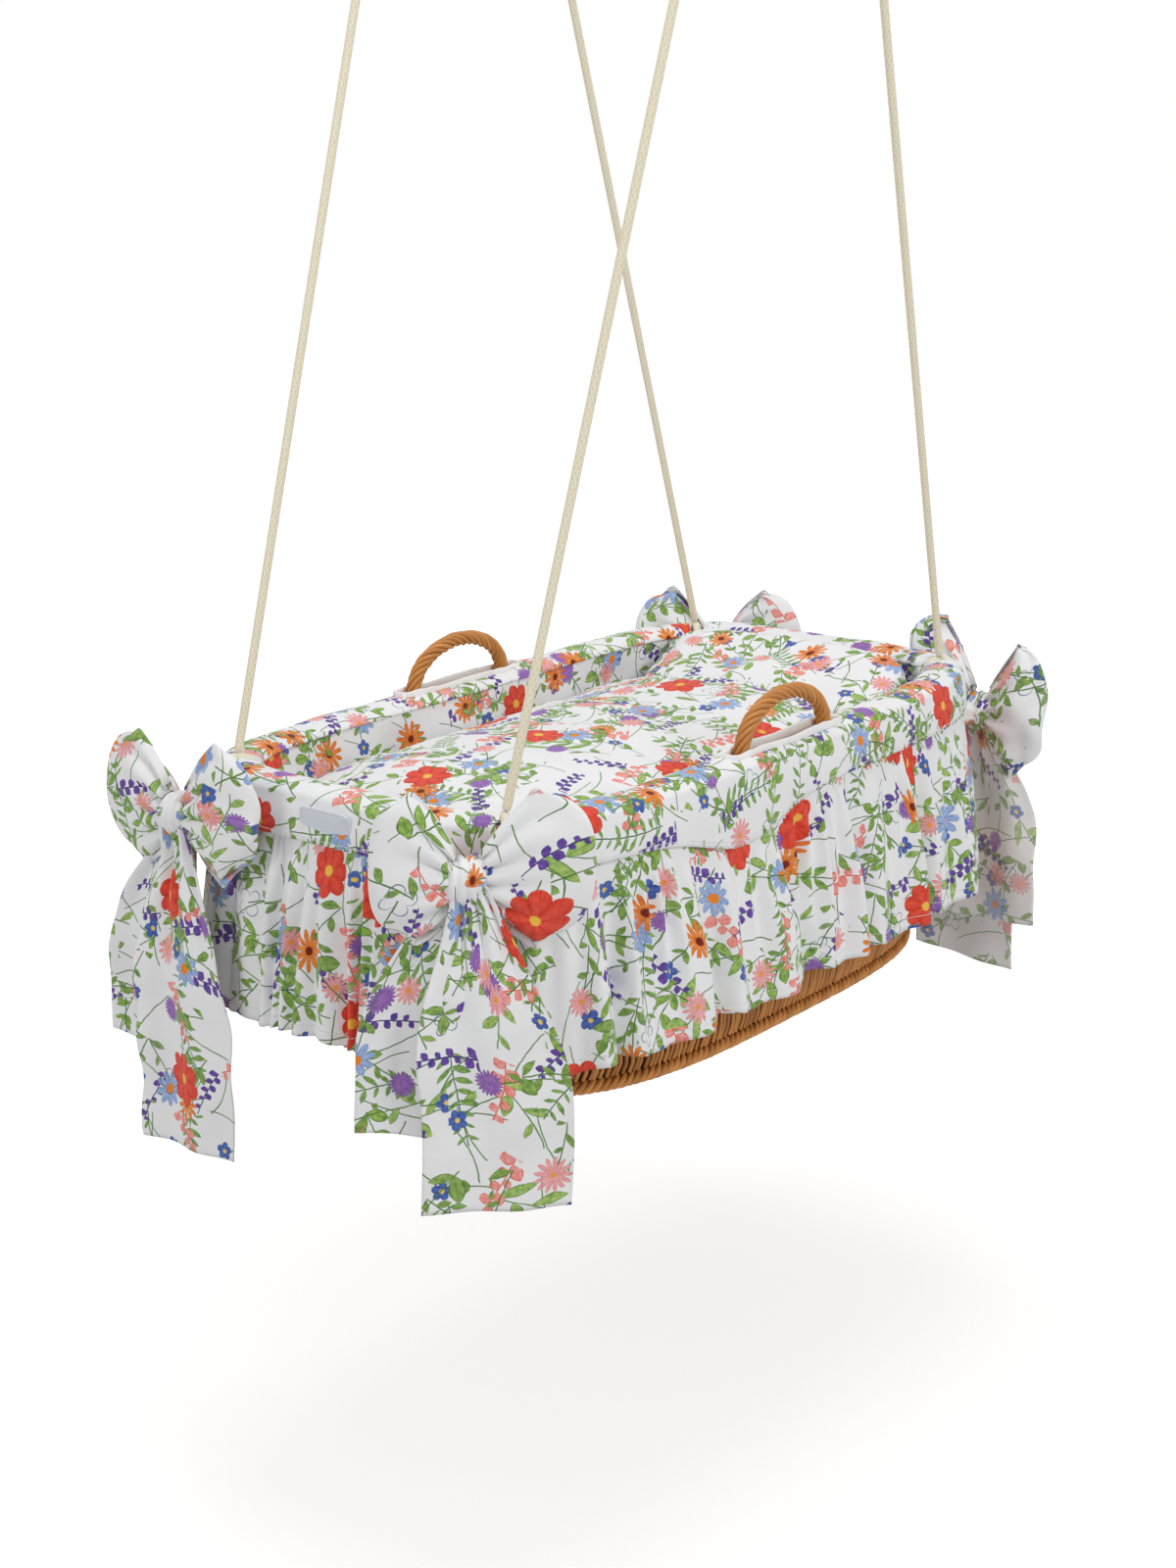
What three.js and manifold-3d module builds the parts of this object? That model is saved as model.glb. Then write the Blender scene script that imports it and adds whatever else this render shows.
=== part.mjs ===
// Hanging baby cradle: an oval wicker basket in a printed cotton cover, hung by four ropes.
// Millimetres. +X runs to the head end, +Y to the left side, +Z up.
// The origin lies on the ceiling plane, above the middle of the basket.

import * as THREE from 'three';
import Module from 'manifold-3d';

const wasm = await Module();
wasm.setup();

// Hanging
const hangingHeight = 795; // ceiling plane down to the level of the cover's rim
const eyeSpacingLength = 236; // between the foot and head ceiling eyes
const eyeSpacingWidth = 358; // between the left and right ceiling eyes
const eyeShiftToHead = 13.15; // puts the ropes' meeting point above the centre of mass
const cornerInset = 26; // along X from the rim's end to the outline beside each rope

// Basket
const rimHalfLength = 379;
const rimHalfWidth = 206;
const rimSquareness = 5;
const wallLeanEnds = 49; // how much shorter the base is at each end than the rim
const wallLeanSides = 6;
const baseSquareness = 3.4;
const baseShift = 24; // base's middle towards the head end from the rim's middle
const basketDepth = 273; // cover's rim down to the underside of the foot border
const headRise = 16; // how much higher the rim is at the head end
const wallThickness = 7;
const wallInset = 8; // wall's outer face in from the rim border's outer face
const wallTuck = 5; // how far the wall turns in above the foot border
const borderWidth = 22;
const borderHeight = 18;
const footBorderWidth = 14;
const footBorderHeight = 13;
const baseThickness = 12;
const footStand = 2.3; // foot border stands this far below the base board

// Handles
const handleRadius = 7.5;
const handleHalfSpan = 66;
const handleRise = 42; // centre line above the cover's rim
const handleSink = 12; // how deep each leg sits in the rim border
const handleShift = -7; // along X from the basket's middle

// Cover
const crownThickness = 9; // padding between the rim border and the cover's top
const crownDrop = 10; // height of the rounded crown
const crownReachOut = 9; // crown's outer edge beyond the rim outline
const crownReachIn = 33; // crown's inner edge inside the rim outline
const linerThickness = 8;
const linerFloor = 3;
const linerSlack = 4; // between liner and wall at the base
const bandDepth = 44; // cover's rim down to the gathering seam
const bandReach = 14; // band's outer face beyond the rim outline at the seam
const seamSag = 28; // how much lower the seam is below each handle
const seamSagPlace = -100;
const seamSagWidth = 80;
const slitWidth = 16; // slit for the rope in each corner
const slitDepth = 24; // below the rim border's centre line
const slotHalfLength = 88; // opening for each handle
const slotHalfWidth = 10;
const slotSquareness = 8;
const bindingThickness = 1.5;
const bindingStand = 1.5; // binding's edge above the crown
const labelWidth = 60;
const labelHeight = 31;
const labelThickness = 1.2;

// Ruffle
const ruffleThickness = 2.4;
const ruffleDrop = 211; // cover's rim down to the hem
const ruffleFootLift = 12; // the hem is this much higher at the foot end
const ruffleTopReach = 9;
const ruffleHemReach = 34;
const ruffleTopFold = 1.8;
const ruffleHemFold = 9.5;
const ruffleFolds = 36;
const ruffleFlareShare = 0.8; // below 1 the ruffle stands out sooner
const ruffleFootShare = 6; // above 1 the lift keeps to the foot end
const foldStartShare = 0.125; // of one fold
const foldDriftShares = [0.22, 0.16]; // of one fold, at each pace of the drift
const foldDriftTurns = [5, 13];
const seamGap = 1.2; // between the band and the ruffle's top edge

// Bedding
const mattressThickness = 120;
const mattressRounding = 12;
const quiltEdgeHeight = -38;
const quiltCrownHeight = -10;
const quiltRounding = 16;
const quiltCrownReachShare = 0.75; // share of its half width that the crown rises over
const pillowLength = 150;
const pillowSideInset = 56; // from the rim's side outline to the pillow's end
const pillowThickness = 44;
const pillowHeadInset = 113; // from the rim's head end to the pillow's middle
const pillowHeight = -31;
const pillowTilt = THREE.MathUtils.degToRad(22);
const pillowSquareness = 4;
const pillowPlump = 0.5; // below 1 the pillow is fuller towards its edge
const pillowEdge = 0.45; // how far its faces draw in, as a share of its thickness
const beddingGap = 3;

// Ropes and their fittings
const ropeRadius = 4;
const loopRadius = 16.5; // centre line of the loop round the rim border
const ropeStep = 24;
const ropeEndGap = 0.8; // between a rope's rounded end and its rim loop
const ropeEndShare = 0.5; // radius of a rope's rounded end, as a share of the rope's
const plateRadius = 24;
const plateThickness = 4;
const shankRadius = 3.5;
const shankLength = 11;
const eyeRadius = 10;
const eyeBar = 3;
const linkRadius = 11;
const linkBar = 2.5;
const ringGap = 0.5; // between two rings where one hangs in the other
const ropeEyeRadius = 12;
const whippingRadius = 7;
const whippingLength = 22;

// Bows
const bowInset = 15; // along X from the rim's end to the outline beside a knot
const bowStand = 32; // of a knot off the cover
const bowDrop = 40; // cover's rim down to a knot
const bowLoopLength = 100;
const bowTailLength = 250;
const bowTailShift = 25; // of a tail's end beside its knot
const bowLoopHeight = 68;
const bowLoopDepth = 16;
const bowLoopLift = 13; // loop tips above the knot
const bowLoopFullness = 1.35; // above 1 the fullest part lies further out
const bowLoopRoundness = 0.75;
const bowNeckHeight = 9; // of a loop beside the knot
const bowNeckDepth = 7;
const bowKnotRadius = 19;
const bowTieRadius = 11; // the sash between its knot and the cover
const bowTieGap = 0.4;
const tailWidth = 60; // half of a tail's width at its end
const tailNeck = 15; // half of its width below the knot
const tailFlare = 0.62; // share of its length to full width
const tailRoundness = 0.8;
const tailThickness = 5;
const tailWave = 5;
const tailWaves = 3; // half waves across a tail
const tailWaveStart = 0.33; // share of its length to full wave
const tailStand = 16; // how far a tail stands out past the knot
const tailStandStart = 0.55;

// Fits and facets
const gap = 0.3;
const ringCount = 52;
const squareReach = 36; // rings keep an even distance from the outline up to here
const cornerPull = 80; // how much closer the points of a ring lie in its corners
const outlineSteps = 2400;
const cutOverrun = 20; // how far a cut runs past what it cuts
const tubeSides = 8;

const cotton = { color: '#efedea', roughness: 0.9 };
const wicker = { color: '#b07034', roughness: 0.7 };
const cord = { color: '#e1d7b9', roughness: 0.95 };
const steel = { color: '#c4c6c8', roughness: 0.35, metalness: 0.9 };

// Outlines

const baseHalfLength = rimHalfLength - wallLeanEnds;
const baseHalfWidth = rimHalfWidth - wallLeanSides;

// Points of a rounded rectangle, evenly spaced along it and closer in its corners.
function outline(halfLength, halfWidth, squareness, count, pull = cornerPull) {
  const points = [];
  for (let i = 0; i <= outlineSteps; i += 1) {
    const angle = (2 * Math.PI * i) / outlineSteps;
    const along = Math.cos(angle);
    const across = Math.sin(angle);
    points.push(new THREE.Vector2(
      halfLength * Math.sign(along) * Math.abs(along) ** (2 / squareness),
      halfWidth * Math.sign(across) * Math.abs(across) ** (2 / squareness),
    ));
  }
  const reach = [0];
  let heading = Math.PI / 2;
  for (let i = 1; i <= outlineSteps; i += 1) {
    const step = points[i].clone().sub(points[i - 1]);
    const turn = Math.abs(Math.atan2(Math.sin(step.angle() - heading), Math.cos(step.angle() - heading)));
    heading = step.angle();
    reach.push(reach[i - 1] + step.length() + pull * turn);
  }
  const ring = [];
  let index = 0;
  for (let k = 0; k < count; k += 1) {
    const target = (reach[outlineSteps] * k) / count;
    while (reach[index + 1] <= target) index += 1;
    const share = (target - reach[index]) / (reach[index + 1] - reach[index]);
    ring.push(points[index].clone().lerp(points[index + 1], share));
  }
  return ring;
}

// Moves each point of a ring square to the ring, outwards for a positive reach.
function offsetRing(ring, reach) {
  return ring.map((point, k) => {
    const before = ring[(k + ring.length - 1) % ring.length];
    const after = ring[(k + 1) % ring.length];
    const along = after.clone().sub(before).normalize();
    return new THREE.Vector2(point.x + along.y * reach, point.y - along.x * reach);
  });
}

// One ring round the basket. A fall of 0 is the rim's outline and 1 the base's.
function basketRing(spread, height, fall = 0, count = ringCount) {
  const mix = THREE.MathUtils.lerp;
  const shrink = Math.max(0, -spread - squareReach);
  const flat = outline(
    mix(rimHalfLength, baseHalfLength, fall) - shrink,
    mix(rimHalfWidth, baseHalfWidth, fall) - shrink,
    mix(rimSquareness, baseSquareness, fall),
    count,
  );
  const shift = baseShift * fall;
  return offsetRing(flat, spread + shrink).map((point) => new THREE.Vector3(point.x + shift, point.y, height));
}

// Points of a circle or ellipse in the plane of two unit vectors.
function sectionRing(centre, first, second, firstRadius, secondRadius, sides) {
  const ring = [];
  for (let k = 0; k < sides; k += 1) {
    const angle = (2 * Math.PI * (k + 0.5)) / sides;
    ring.push(centre.clone()
      .addScaledVector(first, firstRadius * Math.cos(angle))
      .addScaledVector(second, secondRadius * Math.sin(angle)));
  }
  return ring;
}

// Solids from rings

function fromTriangles(points, triangles) {
  const geometry = new THREE.BufferGeometry();
  const flat = points.flatMap((point) => [point.x, point.y, point.z]);
  let volume = 0;
  for (const [a, b, c] of triangles) {
    volume += points[a].dot(points[b].clone().cross(points[c]));
  }
  const faces = volume < 0 ? triangles.map(([a, b, c]) => [a, c, b]) : triangles;
  geometry.setAttribute('position', new THREE.Float32BufferAttribute(flat, 3));
  geometry.setIndex(faces.flat());
  return geometry;
}

function joinRings(rings, closed) {
  const count = rings[0].length;
  const triangles = [];
  const last = closed ? rings.length : rings.length - 1;
  for (let row = 0; row < last; row += 1) {
    const next = (row + 1) % rings.length;
    for (let k = 0; k < count; k += 1) {
      const side = (k + 1) % count;
      const corners = [row * count + k, row * count + side, next * count + side, next * count + k];
      triangles.push([corners[0], corners[1], corners[2]], [corners[0], corners[2], corners[3]]);
    }
  }
  return triangles;
}

// A band whose last ring meets its first.
function bandSolid(rings) {
  return fromTriangles(rings.flat(), joinRings(rings, true));
}

// A solid whose first and last rings are closed by fans.
function cappedSolid(rings) {
  const count = rings[0].length;
  const points = rings.flat();
  const triangles = joinRings(rings, false);
  for (const row of [0, rings.length - 1]) {
    const centre = new THREE.Vector3();
    rings[row].forEach((point) => centre.addScaledVector(point, 1 / count));
    const tip = points.push(centre) - 1;
    for (let k = 0; k < count; k += 1) {
      const edge = [row * count + k, row * count + ((k + 1) % count)];
      triangles.push(row === 0 ? [tip, edge[1], edge[0]] : [tip, edge[0], edge[1]]);
    }
  }
  return fromTriangles(points, triangles);
}

// A closed round bar bent into a circle that lies in the plane of two unit vectors.
function roundLoop(centre, first, second, radius, bar, steps, sides) {
  const normal = first.clone().cross(second);
  const rings = [];
  for (let k = 0; k < steps; k += 1) {
    const angle = (2 * Math.PI * k) / steps;
    const out = first.clone().multiplyScalar(Math.cos(angle)).addScaledVector(second, Math.sin(angle));
    const middle = centre.clone().addScaledVector(out, radius);
    rings.push(sectionRing(middle, out, normal, bar, bar, sides));
  }
  return bandSolid(rings);
}

// A straight round bar between two points.
function roundBar(start, end, radius, steps, sides) {
  const along = end.clone().sub(start).normalize();
  const first = new THREE.Vector3(0, 1, 0).cross(along).normalize();
  const second = along.clone().cross(first);
  const rings = [];
  for (let k = 0; k <= steps; k += 1) {
    rings.push(sectionRing(start.clone().lerp(end, k / steps), first, second, radius, radius, sides));
  }
  return cappedSolid(rings);
}

// Booleans

function toManifold(geometry) {
  const points = geometry.getAttribute('position');
  return new wasm.Manifold(new wasm.Mesh({
    numProp: 3,
    vertProperties: new Float32Array(points.array),
    triVerts: new Uint32Array(geometry.getIndex().array),
  }));
}

function toGeometry(manifold) {
  const mesh = manifold.getMesh();
  const geometry = new THREE.BufferGeometry();
  geometry.setAttribute('position', new THREE.BufferAttribute(mesh.vertProperties, 3));
  geometry.setIndex(new THREE.BufferAttribute(mesh.triVerts, 1));
  return geometry;
}

function cutAway(geometry, cutters) {
  let body = toManifold(geometry);
  for (const cutter of cutters) body = body.subtract(toManifold(cutter));
  return toGeometry(body);
}

function fuse(geometries) {
  let body = toManifold(geometries[0]);
  for (const other of geometries.slice(1)) body = body.add(toManifold(other));
  return toGeometry(body);
}

// Places

// Height added to the rim towards the head end, fading out towards the base.
function rimRise(x, z) {
  const fade = THREE.MathUtils.clamp(1 + z / basketDepth, 0, 1);
  return headRise * fade * ((x / rimHalfLength + 1) / 2) ** 2;
}

const borderLine = borderWidth / 2; // centre line in from the rim outline
const borderCentre = -crownThickness - borderHeight / 2;
const cornerReach = rimHalfLength - cornerInset;
const pillowWidth = 2 * (rimHalfWidth - pillowSideInset);
const pillowPlace = rimHalfLength - pillowHeadInset;

// A point of the rim's outline at a distance along X, and the outline's outward direction.
function rimPoint(end, side, reach) {
  const along = reach / rimHalfLength;
  const across = (1 - along ** rimSquareness) ** (1 / rimSquareness);
  const out = new THREE.Vector3(
    (end * along ** (rimSquareness - 1)) / rimHalfLength,
    (side * across ** (rimSquareness - 1)) / rimHalfWidth,
    0,
  ).normalize();
  return { point: new THREE.Vector3(end * reach, side * across * rimHalfWidth, 0), out };
}

// Where a rope meets the rim border: the border's centre and outward direction.
function cornerAt(end, side) {
  const { point, out } = rimPoint(end, side, cornerReach);
  return { centre: point.setZ(borderCentre).addScaledVector(out, -borderLine), out };
}

// A slit at a corner: through the cover and the top of the wall, round the rope's loop.
function cornerSlit(end, side) {
  const { centre, out } = cornerAt(end, side);
  const height = slitDepth + borderHeight * 2;
  const box = new THREE.BoxGeometry(borderWidth * 4, slitWidth, height).deleteAttribute('normal');
  box.deleteAttribute('uv');
  box.rotateZ(Math.atan2(out.y, out.x));
  box.translate(centre.x, centre.y, centre.z + height / 2 - slitDepth);
  return mergedBox(box);
}

// A box with one vertex at each corner.
function mergedBox(box) {
  const points = box.getAttribute('position');
  const keys = new Map();
  const kept = [];
  const index = [];
  for (const vertex of box.getIndex().array) {
    const point = new THREE.Vector3().fromBufferAttribute(points, vertex);
    const key = point.toArray().map((value) => value.toFixed(4)).join();
    if (!keys.has(key)) keys.set(key, kept.push(point) - 1);
    index.push(keys.get(key));
  }
  const triangles = [];
  for (let k = 0; k < index.length; k += 3) triangles.push(index.slice(k, k + 3));
  return fromTriangles(kept, triangles);
}

const corners = [
  { name: 'foot_left', end: -1, side: 1 },
  { name: 'foot_right', end: -1, side: -1 },
  { name: 'head_left', end: 1, side: 1 },
  { name: 'head_right', end: 1, side: -1 },
];
const slits = () => corners.map(({ end, side }) => cornerSlit(end, side));

// Wicker

const wallTop = borderCentre - borderHeight / 2 - gap;
const wallBottom = -basketDepth + footBorderHeight + gap;

const wallFallShares = [0, 0.45, 0.9, 1];

function wall() {
  const row = (fall, inwards) => basketRing(
    -wallInset * (1 - fall) - inwards - (fall === 1 ? wallTuck : 0),
    THREE.MathUtils.lerp(wallTop, wallBottom, fall),
    fall,
  );
  const outer = wallFallShares.map((fall) => row(fall, 0));
  const inner = [...wallFallShares].reverse().map((fall) => row(fall, wallThickness));
  return cutAway(bandSolid([...outer, ...inner]), slits());
}

// A border of oval section round the basket.
function border(line, height, width, depth, fall, sides) {
  const rings = [];
  for (let k = 0; k < sides; k += 1) {
    const angle = (2 * Math.PI * (k + 0.5)) / sides;
    const spread = -line + (width / 2) * Math.cos(angle) / Math.cos(Math.PI / sides);
    rings.push(basketRing(spread, height + (depth / 2) * Math.sin(angle), fall));
  }
  return bandSolid(rings);
}

function handlePath(side) {
  const y = side * (rimHalfWidth - borderLine);
  const foot = -crownThickness - handleSink + gap;
  const points = [new THREE.Vector3(handleShift - handleHalfSpan, y, foot)];
  const steps = 16;
  for (let k = 0; k <= steps; k += 1) {
    const angle = (Math.PI * k) / steps;
    points.push(new THREE.Vector3(
      handleShift - handleHalfSpan * Math.cos(angle),
      y,
      handleRise * Math.sin(angle),
    ));
  }
  points.push(new THREE.Vector3(handleShift + handleHalfSpan, y, foot));
  return points;
}

function handle(side) {
  const path = handlePath(side);
  const across = new THREE.Vector3(0, 1, 0);
  const rings = path.map((point, k) => {
    const before = path[Math.max(k - 1, 0)];
    const after = path[Math.min(k + 1, path.length - 1)];
    const along = after.clone().sub(before).normalize();
    return sectionRing(point, across, along.cross(across), handleRadius, handleRadius, 10);
  });
  return cappedSolid(rings);
}

function rimBorder() {
  const ring = border(borderLine, borderCentre, borderWidth, borderHeight, 0, 8);
  const pockets = [];
  for (const side of [1, -1]) {
    for (const leg of [1, -1]) {
      const x = handleShift + leg * handleHalfSpan;
      const y = side * (rimHalfWidth - borderLine);
      const bottom = new THREE.Vector3(x, y, -crownThickness - handleSink);
      const top = new THREE.Vector3(x, y, 0);
      pockets.push(roundBar(bottom, top, handleRadius + gap * 2, 1, 12));
    }
  }
  return cutAway(ring, pockets);
}

function footBorder() {
  const line = footBorderWidth / 2 + wallTuck - wallThickness / 2;
  const height = -basketDepth + footBorderHeight / 2;
  return border(line, height, footBorderWidth, footBorderHeight, 1, 6);
}

function baseBoard() {
  const line = footBorderWidth / 2 + wallTuck - wallThickness / 2;
  const inset = line + footBorderWidth / 2 / Math.cos(Math.PI / 6) + gap;
  const bottom = -basketDepth + footStand;
  return cappedSolid([
    basketRing(-inset, bottom, 1, 48),
    basketRing(-inset, bottom + baseThickness, 1, 48),
  ]);
}

const boardTop = -basketDepth + footStand + baseThickness;

// Cover

const linerFallShares = [0, 0.5, 1];
const linerTop = -crownDrop - gap;
const floorTop = boardTop + gap + linerFloor;

// How far the liner's outer face lies beyond the basket's outline.
function linerSpread(fall) {
  return THREE.MathUtils.lerp(-borderWidth - gap * 2, -wallTuck - wallThickness - linerSlack, fall);
}

function liner() {
  const height = (fall, bottom) => THREE.MathUtils.lerp(linerTop, bottom, fall);
  const outer = linerFallShares.map((fall) => basketRing(linerSpread(fall), height(fall, boardTop + gap), fall));
  const inner = linerFallShares.map((fall) => basketRing(linerSpread(fall) - linerThickness, height(fall, floorTop), fall));
  return cutAway(cappedSolid([...outer.reverse(), ...inner]), slits());
}

// The seam hangs lower below the handles.
function seamDrop(x, y) {
  const side = THREE.MathUtils.smoothstep(Math.abs(y), rimHalfWidth / 2, rimHalfWidth);
  return seamSag * side * Math.exp(-(((x - seamSagPlace) / seamSagWidth) ** 2));
}

function collarRings() {
  const middle = (crownReachOut - crownReachIn) / 2;
  const half = (crownReachOut + crownReachIn) / 2;
  const under = -crownThickness + gap;
  const rings = [basketRing(bandReach, -bandDepth)];
  const steps = 6;
  for (let k = 0; k <= steps; k += 1) {
    const angle = (Math.PI * k) / steps;
    rings.push(basketRing(middle + half * Math.cos(angle), -crownDrop + crownDrop * Math.sin(angle)));
  }
  rings.push(basketRing(-borderWidth - gap, -crownDrop));
  rings.push(basketRing(-borderWidth - gap, under));
  rings.push(basketRing(gap * 2, under));
  rings.push(basketRing(gap * 3, -bandDepth));
  for (const ring of [rings[0], rings[rings.length - 1]]) {
    for (const point of ring) point.z -= seamDrop(point.x, point.y);
  }
  return rings;
}

// The long opening in the cover's crown that a handle stands in.
function slotOutline(side, inset, height) {
  const flat = outline(slotHalfLength - inset, slotHalfWidth - inset, slotSquareness, 32, 0);
  const y = side * (rimHalfWidth - borderLine);
  return flat.map((point) => new THREE.Vector3(point.x + handleShift, point.y + y, height));
}

function collar() {
  const slots = [1, -1].map((side) => cappedSolid([
    slotOutline(side, 0, -cutOverrun),
    slotOutline(side, 0, cutOverrun),
  ]));
  return cutAway(bandSolid(collarRings()), [...slits(), ...slots]);
}

function slitBinding(side) {
  const bottom = -crownThickness + gap * 2;
  const inner = gap + bindingThickness;
  return bandSolid([
    slotOutline(side, gap, bottom),
    slotOutline(side, gap, bindingStand),
    slotOutline(side, inner, bindingStand),
    slotOutline(side, inner, bottom),
  ]);
}

function labelPatch() {
  const patch = mergedBox(new THREE.BoxGeometry(labelThickness, labelWidth, labelHeight));
  const slope = Math.atan2(bandReach - crownReachOut, bandDepth - crownDrop);
  patch.rotateY(slope);
  const height = -(bandDepth + crownDrop) / 2;
  const reach = (bandReach + crownReachOut) / 2 + labelThickness;
  patch.translate(-rimHalfLength - reach, 0, height);
  return patch;
}

// Folds of the ruffle: wide and narrow ones in turn round the basket.
function foldWave(share) {
  const drift = foldDriftShares.map((part, k) => part * Math.sin(2 * Math.PI * foldDriftTurns[k] * share));
  return Math.cos(2 * Math.PI * (ruffleFolds * share + foldStartShare + drift[0] + drift[1]));
}

function ruffleRing(depthShare, inwards) {
  const count = ruffleFolds * 4;
  const reach = THREE.MathUtils.lerp(ruffleTopReach, ruffleHemReach, depthShare ** ruffleFlareShare);
  const fold = THREE.MathUtils.lerp(ruffleTopFold, ruffleHemFold, depthShare);
  const flat = outline(rimHalfLength, rimHalfWidth, rimSquareness, count, 0);
  const moved = flat.map((point, k) => {
    const spread = reach - inwards + fold * foldWave(k / count);
    return offsetRing(flat, spread)[k];
  });
  return moved.map((point) => {
    const foot = Math.max(0, -point.x / rimHalfLength) ** ruffleFootShare;
    const top = -bandDepth - seamGap - seamDrop(point.x, point.y);
    const hem = -ruffleDrop + ruffleFootLift * foot;
    return new THREE.Vector3(point.x, point.y, THREE.MathUtils.lerp(top, hem, depthShare));
  });
}

const ruffleDepthShares = [0, 0.3, 0.65, 1];

function ruffle() {
  const outer = ruffleDepthShares.map((share) => ruffleRing(share, 0));
  const inner = [...ruffleDepthShares].reverse().map((share) => ruffleRing(share, ruffleThickness));
  return bandSolid([...outer, ...inner]);
}

// Bedding

function mattress() {
  const inset = wallTuck + wallThickness + linerSlack + linerThickness + beddingGap;
  const bottom = floorTop + gap;
  const top = bottom + mattressThickness;
  return cappedSolid([
    basketRing(-inset - mattressRounding, bottom, 1, 48),
    basketRing(-inset, bottom + mattressRounding, 1, 48),
    basketRing(-inset, top - mattressRounding, 1, 48),
    basketRing(-inset - mattressRounding, top, 1, 48),
  ]);
}

// The quilt's sides run beside the liner's, and its crown rises from its edge to its middle.
function quiltCushion() {
  const bottom = floorTop + gap + mattressThickness + gap;
  const row = (inwards, height, sideHeight = height) => {
    const fall = (linerTop - sideHeight) / (linerTop - floorTop);
    return basketRing(linerSpread(fall) - linerThickness - beddingGap - inwards, height, fall, 48);
  };
  const rings = [row(quiltRounding, bottom), row(0, bottom + quiltRounding)];
  rings.push(row(0, quiltEdgeHeight - quiltRounding));
  const steps = 3;
  for (let k = 0; k <= steps; k += 1) {
    const share = k / steps;
    const rise = Math.sin((Math.PI / 2) * share);
    const height = THREE.MathUtils.lerp(quiltEdgeHeight, quiltCrownHeight, rise);
    const inwards = quiltRounding / 2 + (rimHalfWidth - borderWidth) * quiltCrownReachShare * share;
    rings.push(row(inwards, height, quiltEdgeHeight));
  }
  return cappedSolid(rings);
}

// The hollow that the pillow lies in, open at the top.
function pillowHollow() {
  const reach = pillowWidth;
  const halfLength = pillowLength / 2 + beddingGap * 2;
  const box = mergedBox(new THREE.BoxGeometry(pillowLength * 3, reach * 2, reach));
  box.translate(pillowLength * 1.5 - halfLength, 0, reach / 2 - pillowThickness / 2 - gap * 2);
  box.rotateY(-pillowTilt);
  box.translate(pillowPlace, 0, pillowHeight);
  const front = mergedBox(new THREE.BoxGeometry(reach * 2, reach * 2, reach * 2));
  front.translate(pillowPlace - halfLength * Math.cos(pillowTilt) + reach, 0, 0);
  return toGeometry(toManifold(box).intersect(toManifold(front)));
}

function quilt() {
  return cutAway(quiltCushion(), [pillowHollow()]);
}

function pillow() {
  const rings = [];
  const steps = 8;
  for (let k = 0; k <= steps; k += 1) {
    const angle = Math.PI * (k / steps) - Math.PI / 2;
    const plump = Math.max(0, Math.cos(angle)) ** pillowPlump;
    const height = (pillowThickness / 2) * Math.sin(angle);
    const edge = pillowThickness * pillowEdge * (1 - plump);
    const flat = outline(pillowLength / 2 - edge, pillowWidth / 2 - edge, pillowSquareness, 36);
    rings.push(flat.map((point) => new THREE.Vector3(point.x, point.y, height)));
  }
  const cushion = cappedSolid(rings);
  cushion.rotateY(-pillowTilt);
  cushion.translate(pillowPlace, 0, pillowHeight);
  return cushion;
}

// Bows

function bowLoop(side, length) {
  const rings = [];
  const steps = 6;
  const first = new THREE.Vector3(1, 0, 0);
  const second = new THREE.Vector3(0, 0, 1);
  for (let k = 0; k <= steps; k += 1) {
    const share = k / steps;
    const swell = Math.sin(Math.PI * share ** bowLoopFullness) ** bowLoopRoundness;
    const height = THREE.MathUtils.lerp(bowNeckHeight, bowLoopHeight, swell);
    const depth = THREE.MathUtils.lerp(bowNeckDepth, bowLoopDepth, swell);
    const centre = new THREE.Vector3(0, side * length * share, bowLoopLift * share);
    rings.push(sectionRing(centre, first, second, depth, height, 8));
  }
  return cappedSolid(rings);
}

// A tail hangs from the knot, widens and stands out past the ruffle.
function bowTail(length, shift, forward) {
  const rings = [];
  const steps = 5;
  const sides = 6;
  for (let k = 0; k <= steps; k += 1) {
    const share = k / steps;
    const flare = Math.min(1, share / tailFlare) ** tailRoundness;
    const half = THREE.MathUtils.lerp(tailNeck, tailWidth, flare);
    const out = forward + tailStand * Math.min(1, share / tailStandStart);
    const waveHere = tailWave * Math.min(1, share / tailWaveStart);
    const ring = [];
    for (const face of [1, -1]) {
      for (let step = 0; step < sides; step += 1) {
        const across = face * ((2 * step) / (sides - 1) - 1);
        const wave = waveHere * Math.sin((tailWaves * Math.PI * across) / 2);
        const depth = out + wave + (face * tailThickness) / 2;
        ring.push(new THREE.Vector3(depth, shift * flare + half * across, -length * share));
      }
    }
    rings.push(ring);
  }
  return cappedSolid(rings);
}

function bowKnot() {
  const rings = [];
  const steps = 5;
  const first = new THREE.Vector3(1, 0, 0);
  const second = new THREE.Vector3(0, 1, 0);
  for (let k = 1; k < steps; k += 1) {
    const angle = (Math.PI * k) / steps;
    const size = bowKnotRadius * Math.sin(angle);
    const centre = new THREE.Vector3(0, 0, bowKnotRadius * Math.cos(angle));
    rings.push(sectionRing(centre, first, second, size, size, 8));
  }
  return cappedSolid(rings);
}

// The cover's outer face beyond the rim outline at a height.
function coverFace(height) {
  const share = THREE.MathUtils.clamp((-height - crownDrop) / (bandDepth - crownDrop), 0, 1);
  return THREE.MathUtils.lerp(crownReachOut, bandReach, share);
}

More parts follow.
